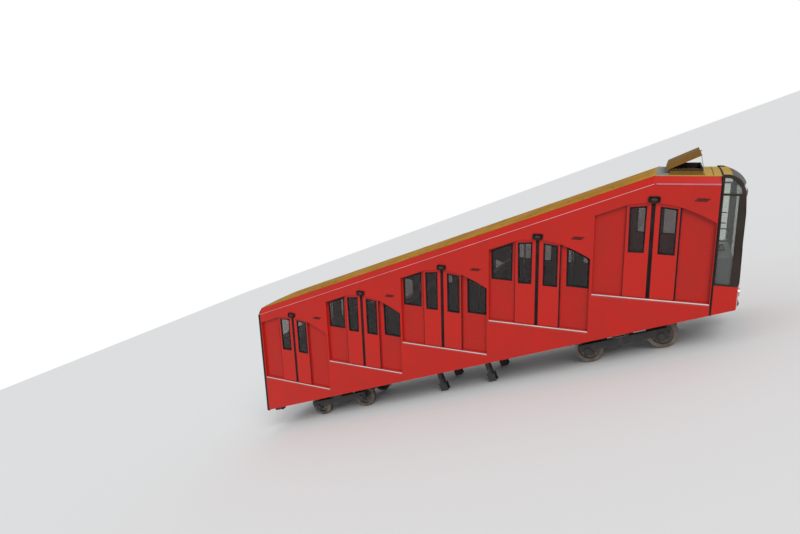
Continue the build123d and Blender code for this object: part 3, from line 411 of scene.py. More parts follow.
def add_node(tree, kind, **values):
    node = tree.nodes.new(kind)
    for key, value in values.items():
        node.inputs[key.replace("_", " ")].default_value = value
    return node


def connect(tree, value, socket):
    """Give a socket its constant, or join it to another node's output."""
    if isinstance(value, (int, float, tuple)):
        socket.default_value = value
    else:
        tree.links.new(value, socket)


def noise(tree, place, scale, detail=4.0, roughness=0.55):
    node = add_node(tree, "ShaderNodeTexNoise", Scale=scale, Detail=detail, Roughness=roughness)
    tree.links.new(place, node.inputs["Vector"])
    return node.outputs["Fac"]


def ranged(tree, value, low, high, to_low=0.0, to_high=1.0):
    node = add_node(tree, "ShaderNodeMapRange", From_Min=low, From_Max=high, To_Min=to_low,
                    To_Max=to_high)
    tree.links.new(value, node.inputs["Value"])
    return node.outputs["Result"]


def blended(tree, share, first, second, kind="RGBA"):
    node = tree.nodes.new("ShaderNodeMix")
    node.data_type = kind
    for label, value in (("Factor", share), ("A", first), ("B", second)):
        connect(tree, value, node.inputs[label])
    return node.outputs["Result"]


def reckoned(tree, operation, first, second):
    node = tree.nodes.new("ShaderNodeMath")
    node.operation = operation
    connect(tree, first, node.inputs[0])
    connect(tree, second, node.inputs[1])
    return node.outputs["Value"]


# Paint that has faded in clouds, with rain streaks and road dust, and a little orange peel
weather, given, result = effect("weathered_surface", {
    "Fresh": COLOUR, "Faded": COLOUR, "Dirt": COLOUR, "Dirt Amount": NUMBER})
place = given["Place"]
stretch = add_node(weather, "ShaderNodeMapping", Scale=(9.0, 9.0, 0.9))
weather.links.new(place, stretch.inputs["Vector"])
clouds = ranged(weather, noise(weather, place, 1.7, 5.0), 0.30, 0.70)
streaks = ranged(weather, noise(weather, stretch.outputs["Vector"], 1.0, 3.0), 0.52, 0.74)
patches = ranged(weather, noise(weather, place, 5.0, 6.0, 0.65), 0.45, 0.75)
specks = ranged(weather, noise(weather, place, 60.0, 3.0, 0.7), 0.58, 0.80)
dirt = reckoned(weather, "ADD", reckoned(weather, "MULTIPLY", streaks, patches),
                reckoned(weather, "MULTIPLY", specks, 0.5))
dirt = reckoned(weather, "MULTIPLY", dirt, given["Dirt Amount"])
dirt = reckoned(weather, "MINIMUM", dirt, 0.9)
shade = blended(weather, clouds, given["Fresh"], given["Faded"])
weather.links.new(blended(weather, dirt, shade, given["Dirt"]), result["Colour"])
worn = reckoned(weather, "ADD", dirt, reckoned(weather, "MULTIPLY", clouds, 0.35))
worn = reckoned(weather, "MINIMUM", worn, 1.0)
weather.links.new(blended(weather, worn, given["Smooth"], given["Rough"], "FLOAT"),
                  result["Roughness"])
weather.links.new(noise(weather, place, 140.0, 2.0), result["Relief"])

# Grain of moulded plastic, rubber and cast metal: speckled tone and a pebbled surface
grain, given, result = effect("fine_grain", {
    "Tone": COLOUR, "Worn Tone": COLOUR, "Grain Scale": NUMBER, "Wear": NUMBER})
place = given["Place"]
rubbed = ranged(grain, noise(grain, place, 3.5, 6.0, 0.6), 0.40, 0.72)
rubbed = reckoned(grain, "MULTIPLY", rubbed, given["Wear"])
grain.links.new(blended(grain, rubbed, given["Tone"], given["Worn Tone"]), result["Colour"])
grain.links.new(blended(grain, rubbed, given["Rough"], given["Smooth"], "FLOAT"),
                result["Roughness"])
pebbles = grain.nodes.new("ShaderNodeTexNoise")
grain.links.new(place, pebbles.inputs["Vector"])
grain.links.new(given["Grain Scale"], pebbles.inputs["Scale"])
grain.links.new(pebbles.outputs["Fac"], result["Relief"])


def new_material(name):
    material = bpy.data.materials.new(name)
    material.use_nodes = True
    return material, material.node_tree, material.node_tree.nodes["Principled BSDF"]


def finish_of(name, group, strength, values, shader):
    """A material from one shared effect: the group's own values, then the shader's."""
    FINISHES[name], tree, surface = new_material(name)
    node = tree.nodes.new("ShaderNodeGroup")
    node.node_tree = group
    tree.links.new(tree.nodes.new("ShaderNodeTexCoord").outputs["Object"], node.inputs["Place"])
    for holder, settings in ((node, values), (surface, shader)):
        for key, value in settings.items():
            holder.inputs[key].default_value = value
    tree.links.new(node.outputs["Colour"], surface.inputs["Base Color"])
    tree.links.new(node.outputs["Roughness"], surface.inputs["Roughness"])
    relief = add_node(tree, "ShaderNodeBump", Strength=strength, Distance=0.001)
    tree.links.new(node.outputs["Relief"], relief.inputs["Height"])
    tree.links.new(relief.outputs["Normal"], surface.inputs["Normal"])


def painted(name, fresh, faded, dirt, amount, smooth, rough, coat=0.0, specular=0.28):
    finish_of(name, weather, 0.08,
              {"Fresh": (*fresh, 1), "Faded": (*faded, 1), "Dirt": (*dirt, 1),
               "Dirt Amount": amount, "Smooth": smooth, "Rough": rough},
              {"Coat Weight": coat, "Coat Roughness": 0.12, "Specular IOR Level": specular})


def grained(name, tone, worn, scale, wear, smooth, rough, metallic=0.0, strength=0.15,
            specular=0.4):
    finish_of(name, grain, strength,
              {"Tone": (*tone, 1), "Worn Tone": (*worn, 1), "Grain Scale": scale, "Wear": wear,
               "Smooth": smooth, "Rough": rough},
              {"Metallic": metallic, "Specular IOR Level": specular})


painted("red_paint", (0.515, 0.015, 0.009), (0.445, 0.018, 0.011), (0.15, 0.03, 0.02), 0.25,
        0.20, 0.40, coat=0.10, specular=0.20)
painted("panel_red", (0.475, 0.014, 0.009), (0.415, 0.017, 0.011), (0.13, 0.03, 0.02), 0.28,
        0.24, 0.42, coat=0.08, specular=0.20)
painted("door_red", (0.525, 0.015, 0.009), (0.475, 0.018, 0.011), (0.15, 0.03, 0.02), 0.20,
        0.20, 0.38, coat=0.10, specular=0.20)
painted("sill_paint", (0.45, 0.05, 0.05), (0.36, 0.05, 0.05), (0.14, 0.08, 0.06), 0.9, 0.35, 0.7)
painted("pale_trim", (0.72, 0.62, 0.60), (0.60, 0.46, 0.44), (0.25, 0.14, 0.12), 0.7, 0.22, 0.5)
# The crease beads' pale pink is a painted highlight: the sheen along the rounded crease
painted("bead_painted_highlight", (0.80, 0.40, 0.43), (0.64, 0.22, 0.25), (0.20, 0.05, 0.05), 0.4,
        0.12, 0.3, coat=0.5)
painted("level_bead_painted_highlight", (0.56, 0.17, 0.23), (0.46, 0.12, 0.17), (0.20, 0.05, 0.05), 0.4,
        0.2, 0.4, coat=0.2)
painted("ochre_paint", (0.50, 0.30, 0.050), (0.38, 0.21, 0.040), (0.13, 0.075, 0.030), 1.3,
        0.6, 0.9, specular=0.03)
# Brown of dirt and painted shade, for the hatch lid and the roof round it
painted("ochre_dirt_and_shade", (0.235, 0.120, 0.024), (0.165, 0.085, 0.020), (0.06, 0.04, 0.02), 1.0,
        0.6, 0.9, specular=0.03)
# Painted shade for the sides of the hatch coaming
painted("shade_painted_ochre", (0.070, 0.052, 0.026), (0.050, 0.038, 0.020), (0.03, 0.02, 0.015), 0.8,
        0.6, 0.9, specular=0.03)
painted("frame_brown", (0.026, 0.018, 0.014), (0.040, 0.030, 0.024), (0.09, 0.07, 0.05), 0.6,
        0.35, 0.6, specular=0.16)
painted("black_paint", (0.019, 0.009, 0.010), (0.031, 0.019, 0.019), (0.08, 0.06, 0.05), 0.4,
        0.3, 0.55, specular=0.14)
painted("frame_grey", (0.040, 0.041, 0.043), (0.055, 0.054, 0.052), (0.14, 0.11, 0.08), 1.2,
        0.5, 0.85)
painted("desk_grey", (0.10, 0.11, 0.12), (0.13, 0.14, 0.14), (0.20, 0.18, 0.15), 0.3, 0.35, 0.6)

grained("floor_rubber", (0.045, 0.045, 0.048), (0.12, 0.11, 0.10), 320.0, 0.7, 0.55, 0.85)
grained("cream_panel", (0.60, 0.53, 0.38), (0.68, 0.62, 0.48), 260.0, 0.5, 0.35, 0.55)
grained("lamp_diffuser", (0.80, 0.79, 0.74), (0.72, 0.70, 0.62), 200.0, 0.4, 0.3, 0.5)
grained("seat_shell", (0.24, 0.12, 0.045), (0.30, 0.16, 0.07), 180.0, 0.6, 0.25, 0.5)
grained("rubber_seal", (0.010, 0.008, 0.009), (0.026, 0.022, 0.022), 240.0, 0.6, 0.45, 0.75,
        specular=0.14)
grained("bright_steel", (0.58, 0.57, 0.55), (0.66, 0.66, 0.65), 420.0, 0.5, 0.16, 0.34,
        metallic=1.0, strength=0.05)
grained("galvanised", (0.34, 0.35, 0.36), (0.46, 0.47, 0.48), 60.0, 0.8, 0.4, 0.62, metallic=0.6)
grained("roof_flashing", (0.20, 0.205, 0.20), (0.30, 0.30, 0.29), 50.0, 0.8, 0.5, 0.75,
        metallic=0.3)
grained("wheel_steel", (0.16, 0.13, 0.11), (0.34, 0.31, 0.28), 90.0, 0.8, 0.32, 0.65,
        metallic=0.9, strength=0.2)
grained("forged_steel", (0.10, 0.09, 0.085), (0.18, 0.16, 0.14), 120.0, 0.7, 0.38, 0.6,
        metallic=0.9, strength=0.2)
grained("tread_steel", (0.46, 0.45, 0.44), (0.62, 0.61, 0.60), 300.0, 0.6, 0.18, 0.35,
        metallic=1.0, strength=0.05)

# The sloping roof is darker and holds more dirt than the level part above the top compartment; the
# darkening is partly real dirt and partly painted shade
tree = FINISHES["ochre_paint"].node_tree
along = tree.nodes.new("ShaderNodeSeparateXYZ")
tree.links.new(tree.nodes["Texture Coordinate"].outputs["Object"], along.inputs["Vector"])
tree.links.new(ranged(tree, along.outputs["X"], KNEE - 0.4, KNEE + 0.5, 1.9, 0.45),
               tree.nodes["Group"].inputs["Dirt Amount"])
past_knee = ranged(tree, along.outputs["X"], KNEE - 0.15, KNEE + 0.15)
for key, sloping, flat in (("Fresh", (0.46, 0.235, 0.022, 1), (0.52, 0.33, 0.065, 1)),
                           ("Faded", (0.33, 0.165, 0.020, 1), (0.42, 0.26, 0.060, 1))):
    tree.links.new(blended(tree, past_knee, sloping, flat), tree.nodes["Group"].inputs[key])


def glass(name, tint, weight, cloudy, gloss=0.35, index=1.45):
    """Clear pane with a film of dust that varies over it."""
    FINISHES[name], tree, surface = new_material(name)
    here = tree.nodes.new("ShaderNodeTexCoord").outputs["Object"]
    film = ranged(tree, noise(tree, here, 2.5, 5.0, 0.6), 0.35, 0.75, 0.015, cloudy)
    tree.links.new(film, surface.inputs["Roughness"])
    tone = blended(tree, ranged(tree, noise(tree, here, 1.2, 3.0), 0.3, 0.7), (*tint, 1),
                   (*(0.86 * c for c in tint), 1))
    tree.links.new(tone, surface.inputs["Base Color"])
    surface.inputs["Transmission Weight"].default_value = weight
    surface.inputs["IOR"].default_value = index
    surface.inputs["Specular IOR Level"].default_value = gloss


# Side window panes: a dark tint, partly painted shade of the cabin behind them, and weak
# reflections
glass("window_glass", (0.40, 0.365, 0.360), 1.0, 0.04, gloss=0.10, index=1.42)
glass("nose_glass", (0.80, 0.84, 0.80), 0.96, 0.06)
glass("lamp_glass", (0.86, 0.86, 0.82), 0.92, 0.10)
glass("dark_lens", (0.075, 0.062, 0.058), 0.3, 0.35, gloss=0.14)

# Every solid gets the finish named after its slot, apart from these; the hatch lid's dark brown is
# dirt and painted shade
OWN_FINISH = {"nose_windscreen": "nose_glass", "nose_side_glass": "nose_glass",
              "lower_windscreen": "nose_glass", "roof_hatch": "ochre_dirt_and_shade",
              "nose_frame": "frame_brown"}
for subpart in frame["record"]["subparts"]:
    solid = frame["nodes"][subpart["node"]]
    solid.data.materials.clear()
    solid.data.materials.append(
        FINISHES[OWN_FINISH.get(subpart["node"], subpart["material_slot"])])


def placed(piece, body, finish):
    """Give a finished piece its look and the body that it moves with."""
    piece.data.materials.clear()
    piece.data.materials.append(FINISHES[finish])
    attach(piece, body)
    return piece


def paired(piece, body, finish):
    """Mirror a piece to the other side of the car, and place both as one."""
    modify(piece, "MIRROR", use_axis=(False, True, False), use_mirror_merge=False)
    return placed(piece, body, finish)


def from_seam(points, seam=SEAMS[0]):
    return [(x + seam[0], z + seam[1]) for x, z in points]


def bay_steps(numbers, first=0):
    """Moves from the first seam to each of the numbered ones."""
    return [(SEAMS[n][0] - SEAMS[first][0], 0, SEAMS[n][1] - SEAMS[first][1]) for n in numbers]


def in_all_bays(piece):
    return repeated(piece, bay_steps(range(1, 5)))


def looking(x=0, y=0, z=0):
    """A test for the faces that look in one direction."""
    return lambda centre, normal: normal.dot(Vector((x, y, z))) > 0.9


def either_shader(tree, share, first, second, output):
    """Show the first shader where the share is nothing and the second where it is one."""
    either = tree.nodes.new("ShaderNodeMixShader")
    for value, socket in zip((share, first.outputs[0], second.outputs[0]), either.inputs):
        tree.links.new(value, socket)
    tree.links.new(either.outputs["Shader"], tree.nodes[output].inputs["Surface"])


# Floor parallel to the rails, under the flanges, and plain soft light
FLANGE = 0.026
bpy.ops.object.select_all(action="DESELECT")
ground_x, ground_z = on_track(-6.35, -FLANGE)
bpy.ops.mesh.primitive_plane_add(size=400, location=(ground_x, 0, ground_z),
                                 rotation=(0, -SLOPE, 0))
ground = started("ground")
ground_finish, tree, surface = new_material("pale_ground")
surface.inputs["Base Color"].default_value = (0.80, 0.80, 0.79, 1)
surface.inputs["Roughness"].default_value = 0.9
see_through = tree.nodes.new("ShaderNodeBsdfTransparent")
from_below = tree.nodes.new("ShaderNodeNewGeometry").outputs["Backfacing"]
either_shader(tree, from_below, surface, see_through, "Material Output")
ground.data.materials.append(ground_finish)

world = bpy.data.worlds.new("soft_studio")
bpy.context.scene.world = world
world.use_nodes = True
tree = world.node_tree
lit = tree.nodes["Background"]
lit.inputs["Color"].default_value = (0.95, 0.97, 1.0, 1)
lit.inputs["Strength"].default_value = 0.62
backdrop = tree.nodes.new("ShaderNodeBackground")
backdrop.inputs["Color"].default_value = (1, 1, 1, 1)
backdrop.inputs["Strength"].default_value = 1.0
light_path = tree.nodes.new("ShaderNodeLightPath")
shown = reckoned(tree, "MAXIMUM", light_path.outputs["Is Camera Ray"],
                 light_path.outputs["Is Transmission Ray"])
either_shader(tree, shown, lit, backdrop, "World Output")

sun_data = bpy.data.lights.new("soft_sun", "SUN")
sun_data.energy = 1.9
sun_data.angle = 0.6
sun = bpy.data.objects.new("soft_sun", sun_data)
sun.rotation_euler = (0.75, 0.25, 0.35)
bpy.context.collection.objects.link(sun)

# Windows of the fixed walls: a black rubber frame in each opening, outside and inside the glass
LOW_WINDOW = [(-1.068, 1.650), (-0.557, 1.853), (-0.570, 0.953), (-1.057, 0.966)]
HIGH_WINDOW = [(0.625, 1.812), (0.885, 1.715), (1.107, 1.585), (1.109, 0.925), (0.632, 0.937)]
LOW_LEAF_WINDOW = [(-0.443, 1.863), (-0.112, 1.896), (-0.120, 0.928), (-0.429, 0.924)]
HIGH_LEAF_WINDOW = [(0.128, 1.889), (0.451, 1.848), (0.448, 0.909), (0.129, 0.917)]
RUBBER = 0.034
RUBBER_CORNER = 0.035
WALL_RUBBER = 0.013
LEAF_RUBBER = 0.015
rings = []
for outline in (LOW_WINDOW, HIGH_WINDOW):
    points = from_seam(outline, SEAMS[GLAZED[0]])
    for y, depth in ((-WALL_OUTER, WALL_RUBBER), (-WALL_INNER, -WALL_RUBBER)):
        rings.append(glazing_ring("ring", points, y, RUBBER, depth, RUBBER_CORNER))
wall_rings = repeated(joined("wall_window_rings", rings), bay_steps(GLAZED[1:], GLAZED[0]))
paired(eased(wall_rings, 0.003), "car", "rubber_seal")

# Sliding leaves: pane and rubber frame, and the soft black edges where the two leaves meet.
# Each strip runs up the leaf between two distances from the seam, to its top, and stands proud.
LEAF_OUT = HALF - SKIN - LEAF_GAP
LEAF_FOOT = -0.020
LEAF_TOP = 1.960
PANE_IN = 0.015
PANE = 0.006
SEAM_X, SEAM_Z = SEAMS[0]
leaf_pieces = {}
for leaf, outline, strips in (
        ("lower", LOW_LEAF_WINDOW, ((-0.0385, -0.0025, LEAF_TOP - 0.002, 0.002),
                                    (-0.500, -0.491, 1.880, 0.0015))),
        ("upper", HIGH_LEAF_WINDOW, ((0.0025, 0.0385, LEAF_TOP - 0.002, 0.002),
                                     (0.488, 0.519, 1.870, 0.002)))):
    points = from_seam(outline)
    pane = thickened(side_face("pane", points, -(LEAF_OUT - PANE_IN)), PANE)
    trim = [glazing_ring("ring", points, y, RUBBER, depth, RUBBER_CORNER)
            for y, depth in ((-(LEAF_OUT + 0.001), LEAF_RUBBER),
                             (-(LEAF_OUT - LEAF - 0.001), -LEAF_RUBBER))]
    for near, far, top, proud in strips:
        trim.append(block(
            "strip", (SEAM_X + near, -(LEAF_OUT + proud), SEAM_Z + LEAF_FOOT + 0.002),
            (SEAM_X + far, -(LEAF_OUT - 0.001), SEAM_Z + top)))
    leaf_pieces[leaf] = (pane, eased(joined("trim", trim), 0.0015))

for side_name, side in SIDES:
    for number, offset in enumerate(bay_steps(range(5)), 1):
        for leaf, (pane, trim) in leaf_pieces.items():
            tag = f"{number}_{side_name}_{leaf}"
            placed(moved_copy(pane, "pane_" + tag, offset, side > 0), "leaf_" + tag,
                   "window_glass")
            placed(moved_copy(trim, "leaf_trim_" + tag, offset, side > 0), "leaf_" + tag,
                   "rubber_seal")
for pane, trim in leaf_pieces.values():
    bpy.data.objects.remove(pane)
    bpy.data.objects.remove(trim)

# Bead along the crease on both sides, coloured pale pink as a painted highlight, paler where the
# roof slopes
start = LOWER_END + 0.040
bead = run_of("crease_bead", [(start, -HALF - 0.002, sill_line(start) + CREASE),
                              (KNEE, -HALF - 0.002, LEVEL_CREASE)], 0.012, 0.012)
paired(eased(bead, 0.003), "car", "bead_painted_highlight")
bead = run_of("level_bead", [(KNEE + 0.030, -HALF - 0.003, LEVEL_CREASE),
                             (SIDE_END - 0.015, -HALF - 0.003, LEVEL_CREASE)], 0.014, 0.030)
paired(eased(bead, 0.004), "car", "level_bead_painted_highlight")

# Pale edge along the top of every sill bar
edging = block("sill_edging", (SEAM_X - 1.100, -HALF - 0.004, SEAM_Z - 0.052),
               (SEAM_X + 1.128, -HALF + 0.001, SEAM_Z - 0.029))
paired(in_all_bays(eased(edging, 0.0015)), "car", "pale_trim")

# Vent above every uphill window panel: a leaning black rim round a red plate with black slats
VENT = [(0.713, 2.012), (0.768, 2.070), (0.995, 2.064), (0.929, 2.008)]
VENT_PLATE = [(0.722, 2.017), (0.771, 2.062), (0.984, 2.057), (0.924, 2.014)]
rim = glazing_ring("vent_rims", from_seam(VENT), -HALF - 0.006, 0.008, 0.008, 0.004)
paired(in_all_bays(eased(rim, 0.0015)), "car", "black_paint")
plate = round_plate("vent_plates", from_seam(VENT_PLATE), -HALF - 0.0015, 0.003, 0.004)
paired(in_all_bays(plate), "car", "panel_red")
slats = []
for height, near, far in ((2.023, 0.750, 0.926), (2.037, 0.765, 0.940), (2.051, 0.780, 0.954)):
    slats.append(eased(block(
        "slat", (SEAM_X + near, -HALF - 0.0050, SEAM_Z + height - 0.004),
        (SEAM_X + far, -HALF - 0.0010, SEAM_Z + height + 0.004)), 0.001))
paired(in_all_bays(joined("vent_slats", slats)), "car", "black_paint")

# Boxes over the seams: rounded, with a sunk face and a dark oval lens
BOX = [(-0.105, 1.965), (0.121, 1.965), (0.121, 2.093), (-0.105, 2.093)]
BOX_FACE = HALF + 0.0395
box = eased(round_plate("seam_box_cases", from_seam(BOX), -BOX_FACE, 0.040, 0.034), 0.004)
box = sunk(box, lambda centre, normal: normal.y < -0.9 and centre.y < -BOX_FACE + 0.0015,
           0.012, (0, 0.004, 0))
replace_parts(paired(in_all_bays(box), "car", "black_paint"), "seam_boxes")
lens = rod("seam_box_lenses", (0, -BOX_FACE + 0.001, 0), (0, -HALF - 0.032, 0), 0.030, 32)
lens.scale = (2.1, 1, 1)
lens.location = (SEAM_X + 0.008, 0, SEAM_Z + 2.029)
settle(lens)
paired(in_all_bays(eased(lens, 0.002)), "car", "dark_lens")

# Black strip round the uphill end of the red body, over the sides and the roof
skirt = sill_line(SIDE_END) - SKIRT_DROP + 0.004
end_path = [(-HALF, skirt), (-HALF, LEVEL_CREASE), *roof_path(LEVEL_TOP),
            (HALF, LEVEL_CREASE), (HALF, skirt)]
gasket = strip_round("end_gasket", SIDE_END + 0.004, 0.036, end_path, 0.006)
placed(gasket, "car", "rubber_seal")

# Level roof: grey plate at the knee, brown strips beside the hatch in dirt and painted shade, and a
# joint behind it
flashing = strip_round("knee_flashing", TOP_SEAM + 0.106, 0.232, roof_path(LEVEL_TOP), 0.004)
placed(flashing, "car", "roof_flashing")
HATCH_EDGE = 0.885
edge = [(y, z) for y, z in roof_path(LEVEL_TOP, steps=48) if y < -HATCH_EDGE]
for side, points in (("right", edge), ("left", [(-y, z) for y, z in edge][::-1])):
    dirt_and_shade_strip = strip_round("walkway_" + side, TOP_SEAM + 0.541, 0.636, points, 0.005)
    placed(dirt_and_shade_strip, "car", "ochre_dirt_and_shade")
joint_line = strip_round("level_roof_joint", TOP_SEAM + 1.005, 0.012, roof_path(LEVEL_TOP), 0.004)
placed(joint_line, "car", "rubber_seal")


# Sloping roof: raised ribs over its joints, and a drip edge along both eaves
def along_eaves(x):
    """Distance along the rails of a place on the sloping eaves."""
    return off_track(x, sill_line(x) + EAVES)[0]


def drip(name, start, end, eaves):
    y, z = -EAVES_Y - 0.003, eaves - 0.004
    return run_of(name, [(start, y, z), (end, y, z)], 0.014, 0.016)


SLOPE_TOP = off_track(0, sill_line(0) + EAVES)[1]
ribs = []
for x in [x + offset for x, _ in SEAMS[:-1] for offset in (-0.15, 0.99)]:
    rib = strip_round("rib", along_eaves(x), 0.035, roof_path(SLOPE_TOP), 0.007)
    ribs.append(eased(rib, 0.002))
placed(laid_on_track(joined("roof_ribs", ribs)), "car", "ochre_paint")
sloping = drip("drip_edge", along_eaves(LOWER_END + 0.30), along_eaves(KNEE), SLOPE_TOP)
drips = [laid_on_track(sloping), drip("drip_level", KNEE, SIDE_END, LEVEL_TOP)]
paired(eased(joined("drip_edge", drips), 0.003), "car", "ochre_paint")

# Hatch hole: plates outside its coaming in painted shade, a brown foot in dirt and painted shade, a
# black lining as painted shade inside the hole, and a seal on top
HOLE_X = (TOP_SEAM + 0.272, TOP_SEAM + 0.800)
HOLE_Y = 0.850
COAMING_OUT = 0.0252
COAMING_TOP = ROOF_CROWN + 0.060
FOOT_TOP = ROOF_CROWN + 0.016


def round_hole(name, out, thick, low, high):
    """Four plates round the hatch hole, their inner faces so far outside its edge."""
    (x0, x1), y = HOLE_X, HOLE_Y + out
    x0, x1 = x0 - out, x1 + out
    plates = [block("plate", (x0 - thick, -y - thick, low), (x1 + thick, -y, high)),
              block("plate", (x0 - thick, y, low), (x1 + thick, y + thick, high)),
              block("plate", (x0 - thick, -y, low), (x0, y, high)),
              block("plate", (x1, -y, low), (x1 + thick, y, high))]
    return eased(joined(name, plates), 0.0008)


placed(round_hole("coaming_plates", COAMING_OUT, 0.002, FOOT_TOP, COAMING_TOP),
       "car", "shade_painted_ochre")
placed(round_hole("coaming_foot", COAMING_OUT, 0.004, ROOF_CROWN - 0.030, FOOT_TOP),
       "car", "ochre_dirt_and_shade")
# Black lining inside the hole: painted shade
placed(round_hole("coaming_shade_lining", -0.0025, 0.0023, ROOF_CROWN - 0.055, COAMING_TOP),
       "car", "black_paint")
placed(round_hole("hatch_seal", 0.003, 0.019, COAMING_TOP + 0.0002, COAMING_TOP + 0.009),
       "car", "rubber_seal")

# Hatch: hinge barrels, stiffeners inside the lid in the same brown of dirt and painted shade, and a
# pull handle on the free end
PIN_X = TOP_SEAM + 0.200
PIN_Z = ROOF_CROWN + 0.045
OPEN = 25 * pi / 180
HINGE_Y = 0.650
HANDLE_Y = 0.090
LID_UNDER = 0.066


def on_lid(along, up):
    """Place on the open lid: along it from the hinge, and up from its rim's lower edge."""
    return PIN_X + along * cos(OPEN) - up * sin(OPEN), PIN_Z + along * sin(OPEN) + up * cos(OPEN)


barrels = [rod("barrel", (PIN_X, y - 0.035, PIN_Z), (PIN_X, y + 0.035, PIN_Z), 0.009, 24)
           for y in (-HINGE_Y, HINGE_Y)]
placed(eased(joined("hatch_hinge_barrels", barrels), 0.0015), "hatch", "galvanised")
x, z = on_lid(0.652, 0.045)
foot, grip = (x - 0.004, z), (x + 0.020, z + 0.009)
handle = run_of("hatch_handle", [(x, y, z) for (x, z), y in (
    (foot, -HANDLE_Y), (grip, -HANDLE_Y), (grip, HANDLE_Y), (foot, HANDLE_Y))], 0.012, 0.012, "Y")
placed(eased(handle, 0.002), "hatch", "galvanised")
(x0, z0), (x1, z1) = on_lid(0.022, LID_UNDER), on_lid(0.628, LID_UNDER)
stiffeners = [run_of("stiffener", [(x0, y, z0), (x1, y, z1)], 0.030, 0.012)
              for y in (-0.60, -0.20, 0.20, 0.60)]
placed(eased(joined("hatch_stiffeners", stiffeners), 0.002), "hatch", "ochre_dirt_and_shade")

# Uphill end: rubber round the panes, wipers and the guard rails behind the side glass
NOSE_BOW = 0.100
NOSE_RADIUS = (HALF ** 2 + NOSE_BOW ** 2) / (2 * NOSE_BOW)
NOSE_FOOT = 0.390
NOSE_CORNER = 1.795
NOSE_TOP = 2.128
NOSE_LEAN = 0.027 / 0.365


def nose_x(y, inset=0.0):
    """The bowed face of the nose below its brow."""
    return NOSE_END + NOSE_BOW - NOSE_RADIUS + sqrt((NOSE_RADIUS - inset) ** 2 - y ** 2)


def seal_place(y, z):
    """Middle of the rubber on the nose, leaning back with the pane above the face's corner."""
    return nose_x(y, 0.012) - max(z - NOSE_CORNER, 0) * NOSE_LEAN, y, TOP_SILL + z


seals = []
for z in (NOSE_FOOT + 0.010, NOSE_TOP - 0.010):
    points = [seal_place(-1.118 + 2.236 * k / 12, z) for k in range(13)]
    seals.append(run_of("seal", points, 0.020, 0.022, "Y"))
for y in (-1.110, 1.110):
    points = [seal_place(y, z) for z in (NOSE_FOOT, NOSE_CORNER, NOSE_TOP)]
    seals.append(run_of("seal", points, 0.020, 0.022, "Z"))
placed(eased(joined("nose_glass_seals", seals), 0.003), "car", "rubber_seal")


WIPERS = ((-0.62, -0.30), (0.10, 0.42))  # each from its foot to its tip, across the glass


def wipers(name, glass_x, foot, offsets, heights):
    """Two wipers: how far pivot, arm and blade stand from the glass, and their heights."""
    pivot_in, pivot_out, arm_foot, arm_tip, blade = offsets
    pivot_z, tip_z, low, high = (foot + height for height in heights)
    parts = []
    for y0, y1 in WIPERS:
        x0, x1 = glass_x(y0), glass_x(y1)
        parts += [
            rod("pivot", (x0 + pivot_in, y0, pivot_z), (x0 + pivot_out, y0, pivot_z), 0.018, 20),
            rod("arm", (x0 + arm_foot, y0, pivot_z), (x1 + arm_tip, y1, tip_z), 0.006, 12),
            run_of("blade", [(x1 + blade, y1, low), (x1 + blade, y1, high)], 0.010, 0.012, "Z")]
    placed(eased(joined(name, parts), 0.0015), "car", "rubber_seal")


wipers("nose_wipers", lambda y: nose_x(y, 0.008), TOP_SILL,
       (-0.020, 0.006, 0.002, 0.002, -0.004), (0.430, 0.960, 0.640, 1.280))

GUARD_Y = 1.095
rails = []
for z in (TOP_SILL + 1.240, TOP_SILL + 1.480):
    rails.append(rod("rail", (SIDE_END + 0.050, -GUARD_Y, z), (NOSE_END - 0.150, -GUARD_Y, z),
                     0.013, 20))
    for x in (SIDE_END + 0.062, NOSE_END - 0.162):
        rails.append(rod("rail_end", (x, -GUARD_Y, z), (x, -GUARD_Y - 0.024, z), 0.011, 16))
paired(eased(joined("nose_guard_rails", rails), 0.001), "car", "black_paint")

# Headlamps at both ends: a dished reflector, a domed lens and a bright bezel
LAMP_Y = 0.800
for end, face, way, height in (("lower", LOWER_END - 0.015, -1, LOW_SILL + 0.250),
                               ("upper", NOSE_END + 0.0702, 1, TOP_SILL + 0.170)):
    ahead = looking(x=way)

    def lamp_place(depth):
        return face - way * depth, -LAMP_Y, height

    bowl = rod(end + "_lamp_reflectors", lamp_place(0.060), lamp_place(0.014), 0.083, 40)
    for border, dish in ((0.030, 0.030), (0.024, 0.010)):
        bowl = sunk(bowl, ahead, border, (-way * dish, 0, 0))
    paired(eased(bowl, 0.001), "car", "bright_steel")
    lens = rod(end + "_lamp_lenses", lamp_place(0.013), lamp_place(0.007), 0.076, 40)
    for border, dome in ((0.018, 0.004), (0.018, 0.002)):
        lens = sunk(lens, ahead, border, (way * dome, 0, 0))
    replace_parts(paired(lens, "car", "lamp_glass"), end + "_headlamps")
    bezel = hoop(end + "_lamp_bezels", lamp_place(0.0095), 0.0845, 0.019, 0.009, "X")
    paired(eased(bezel, 0.002), "car", "bright_steel")

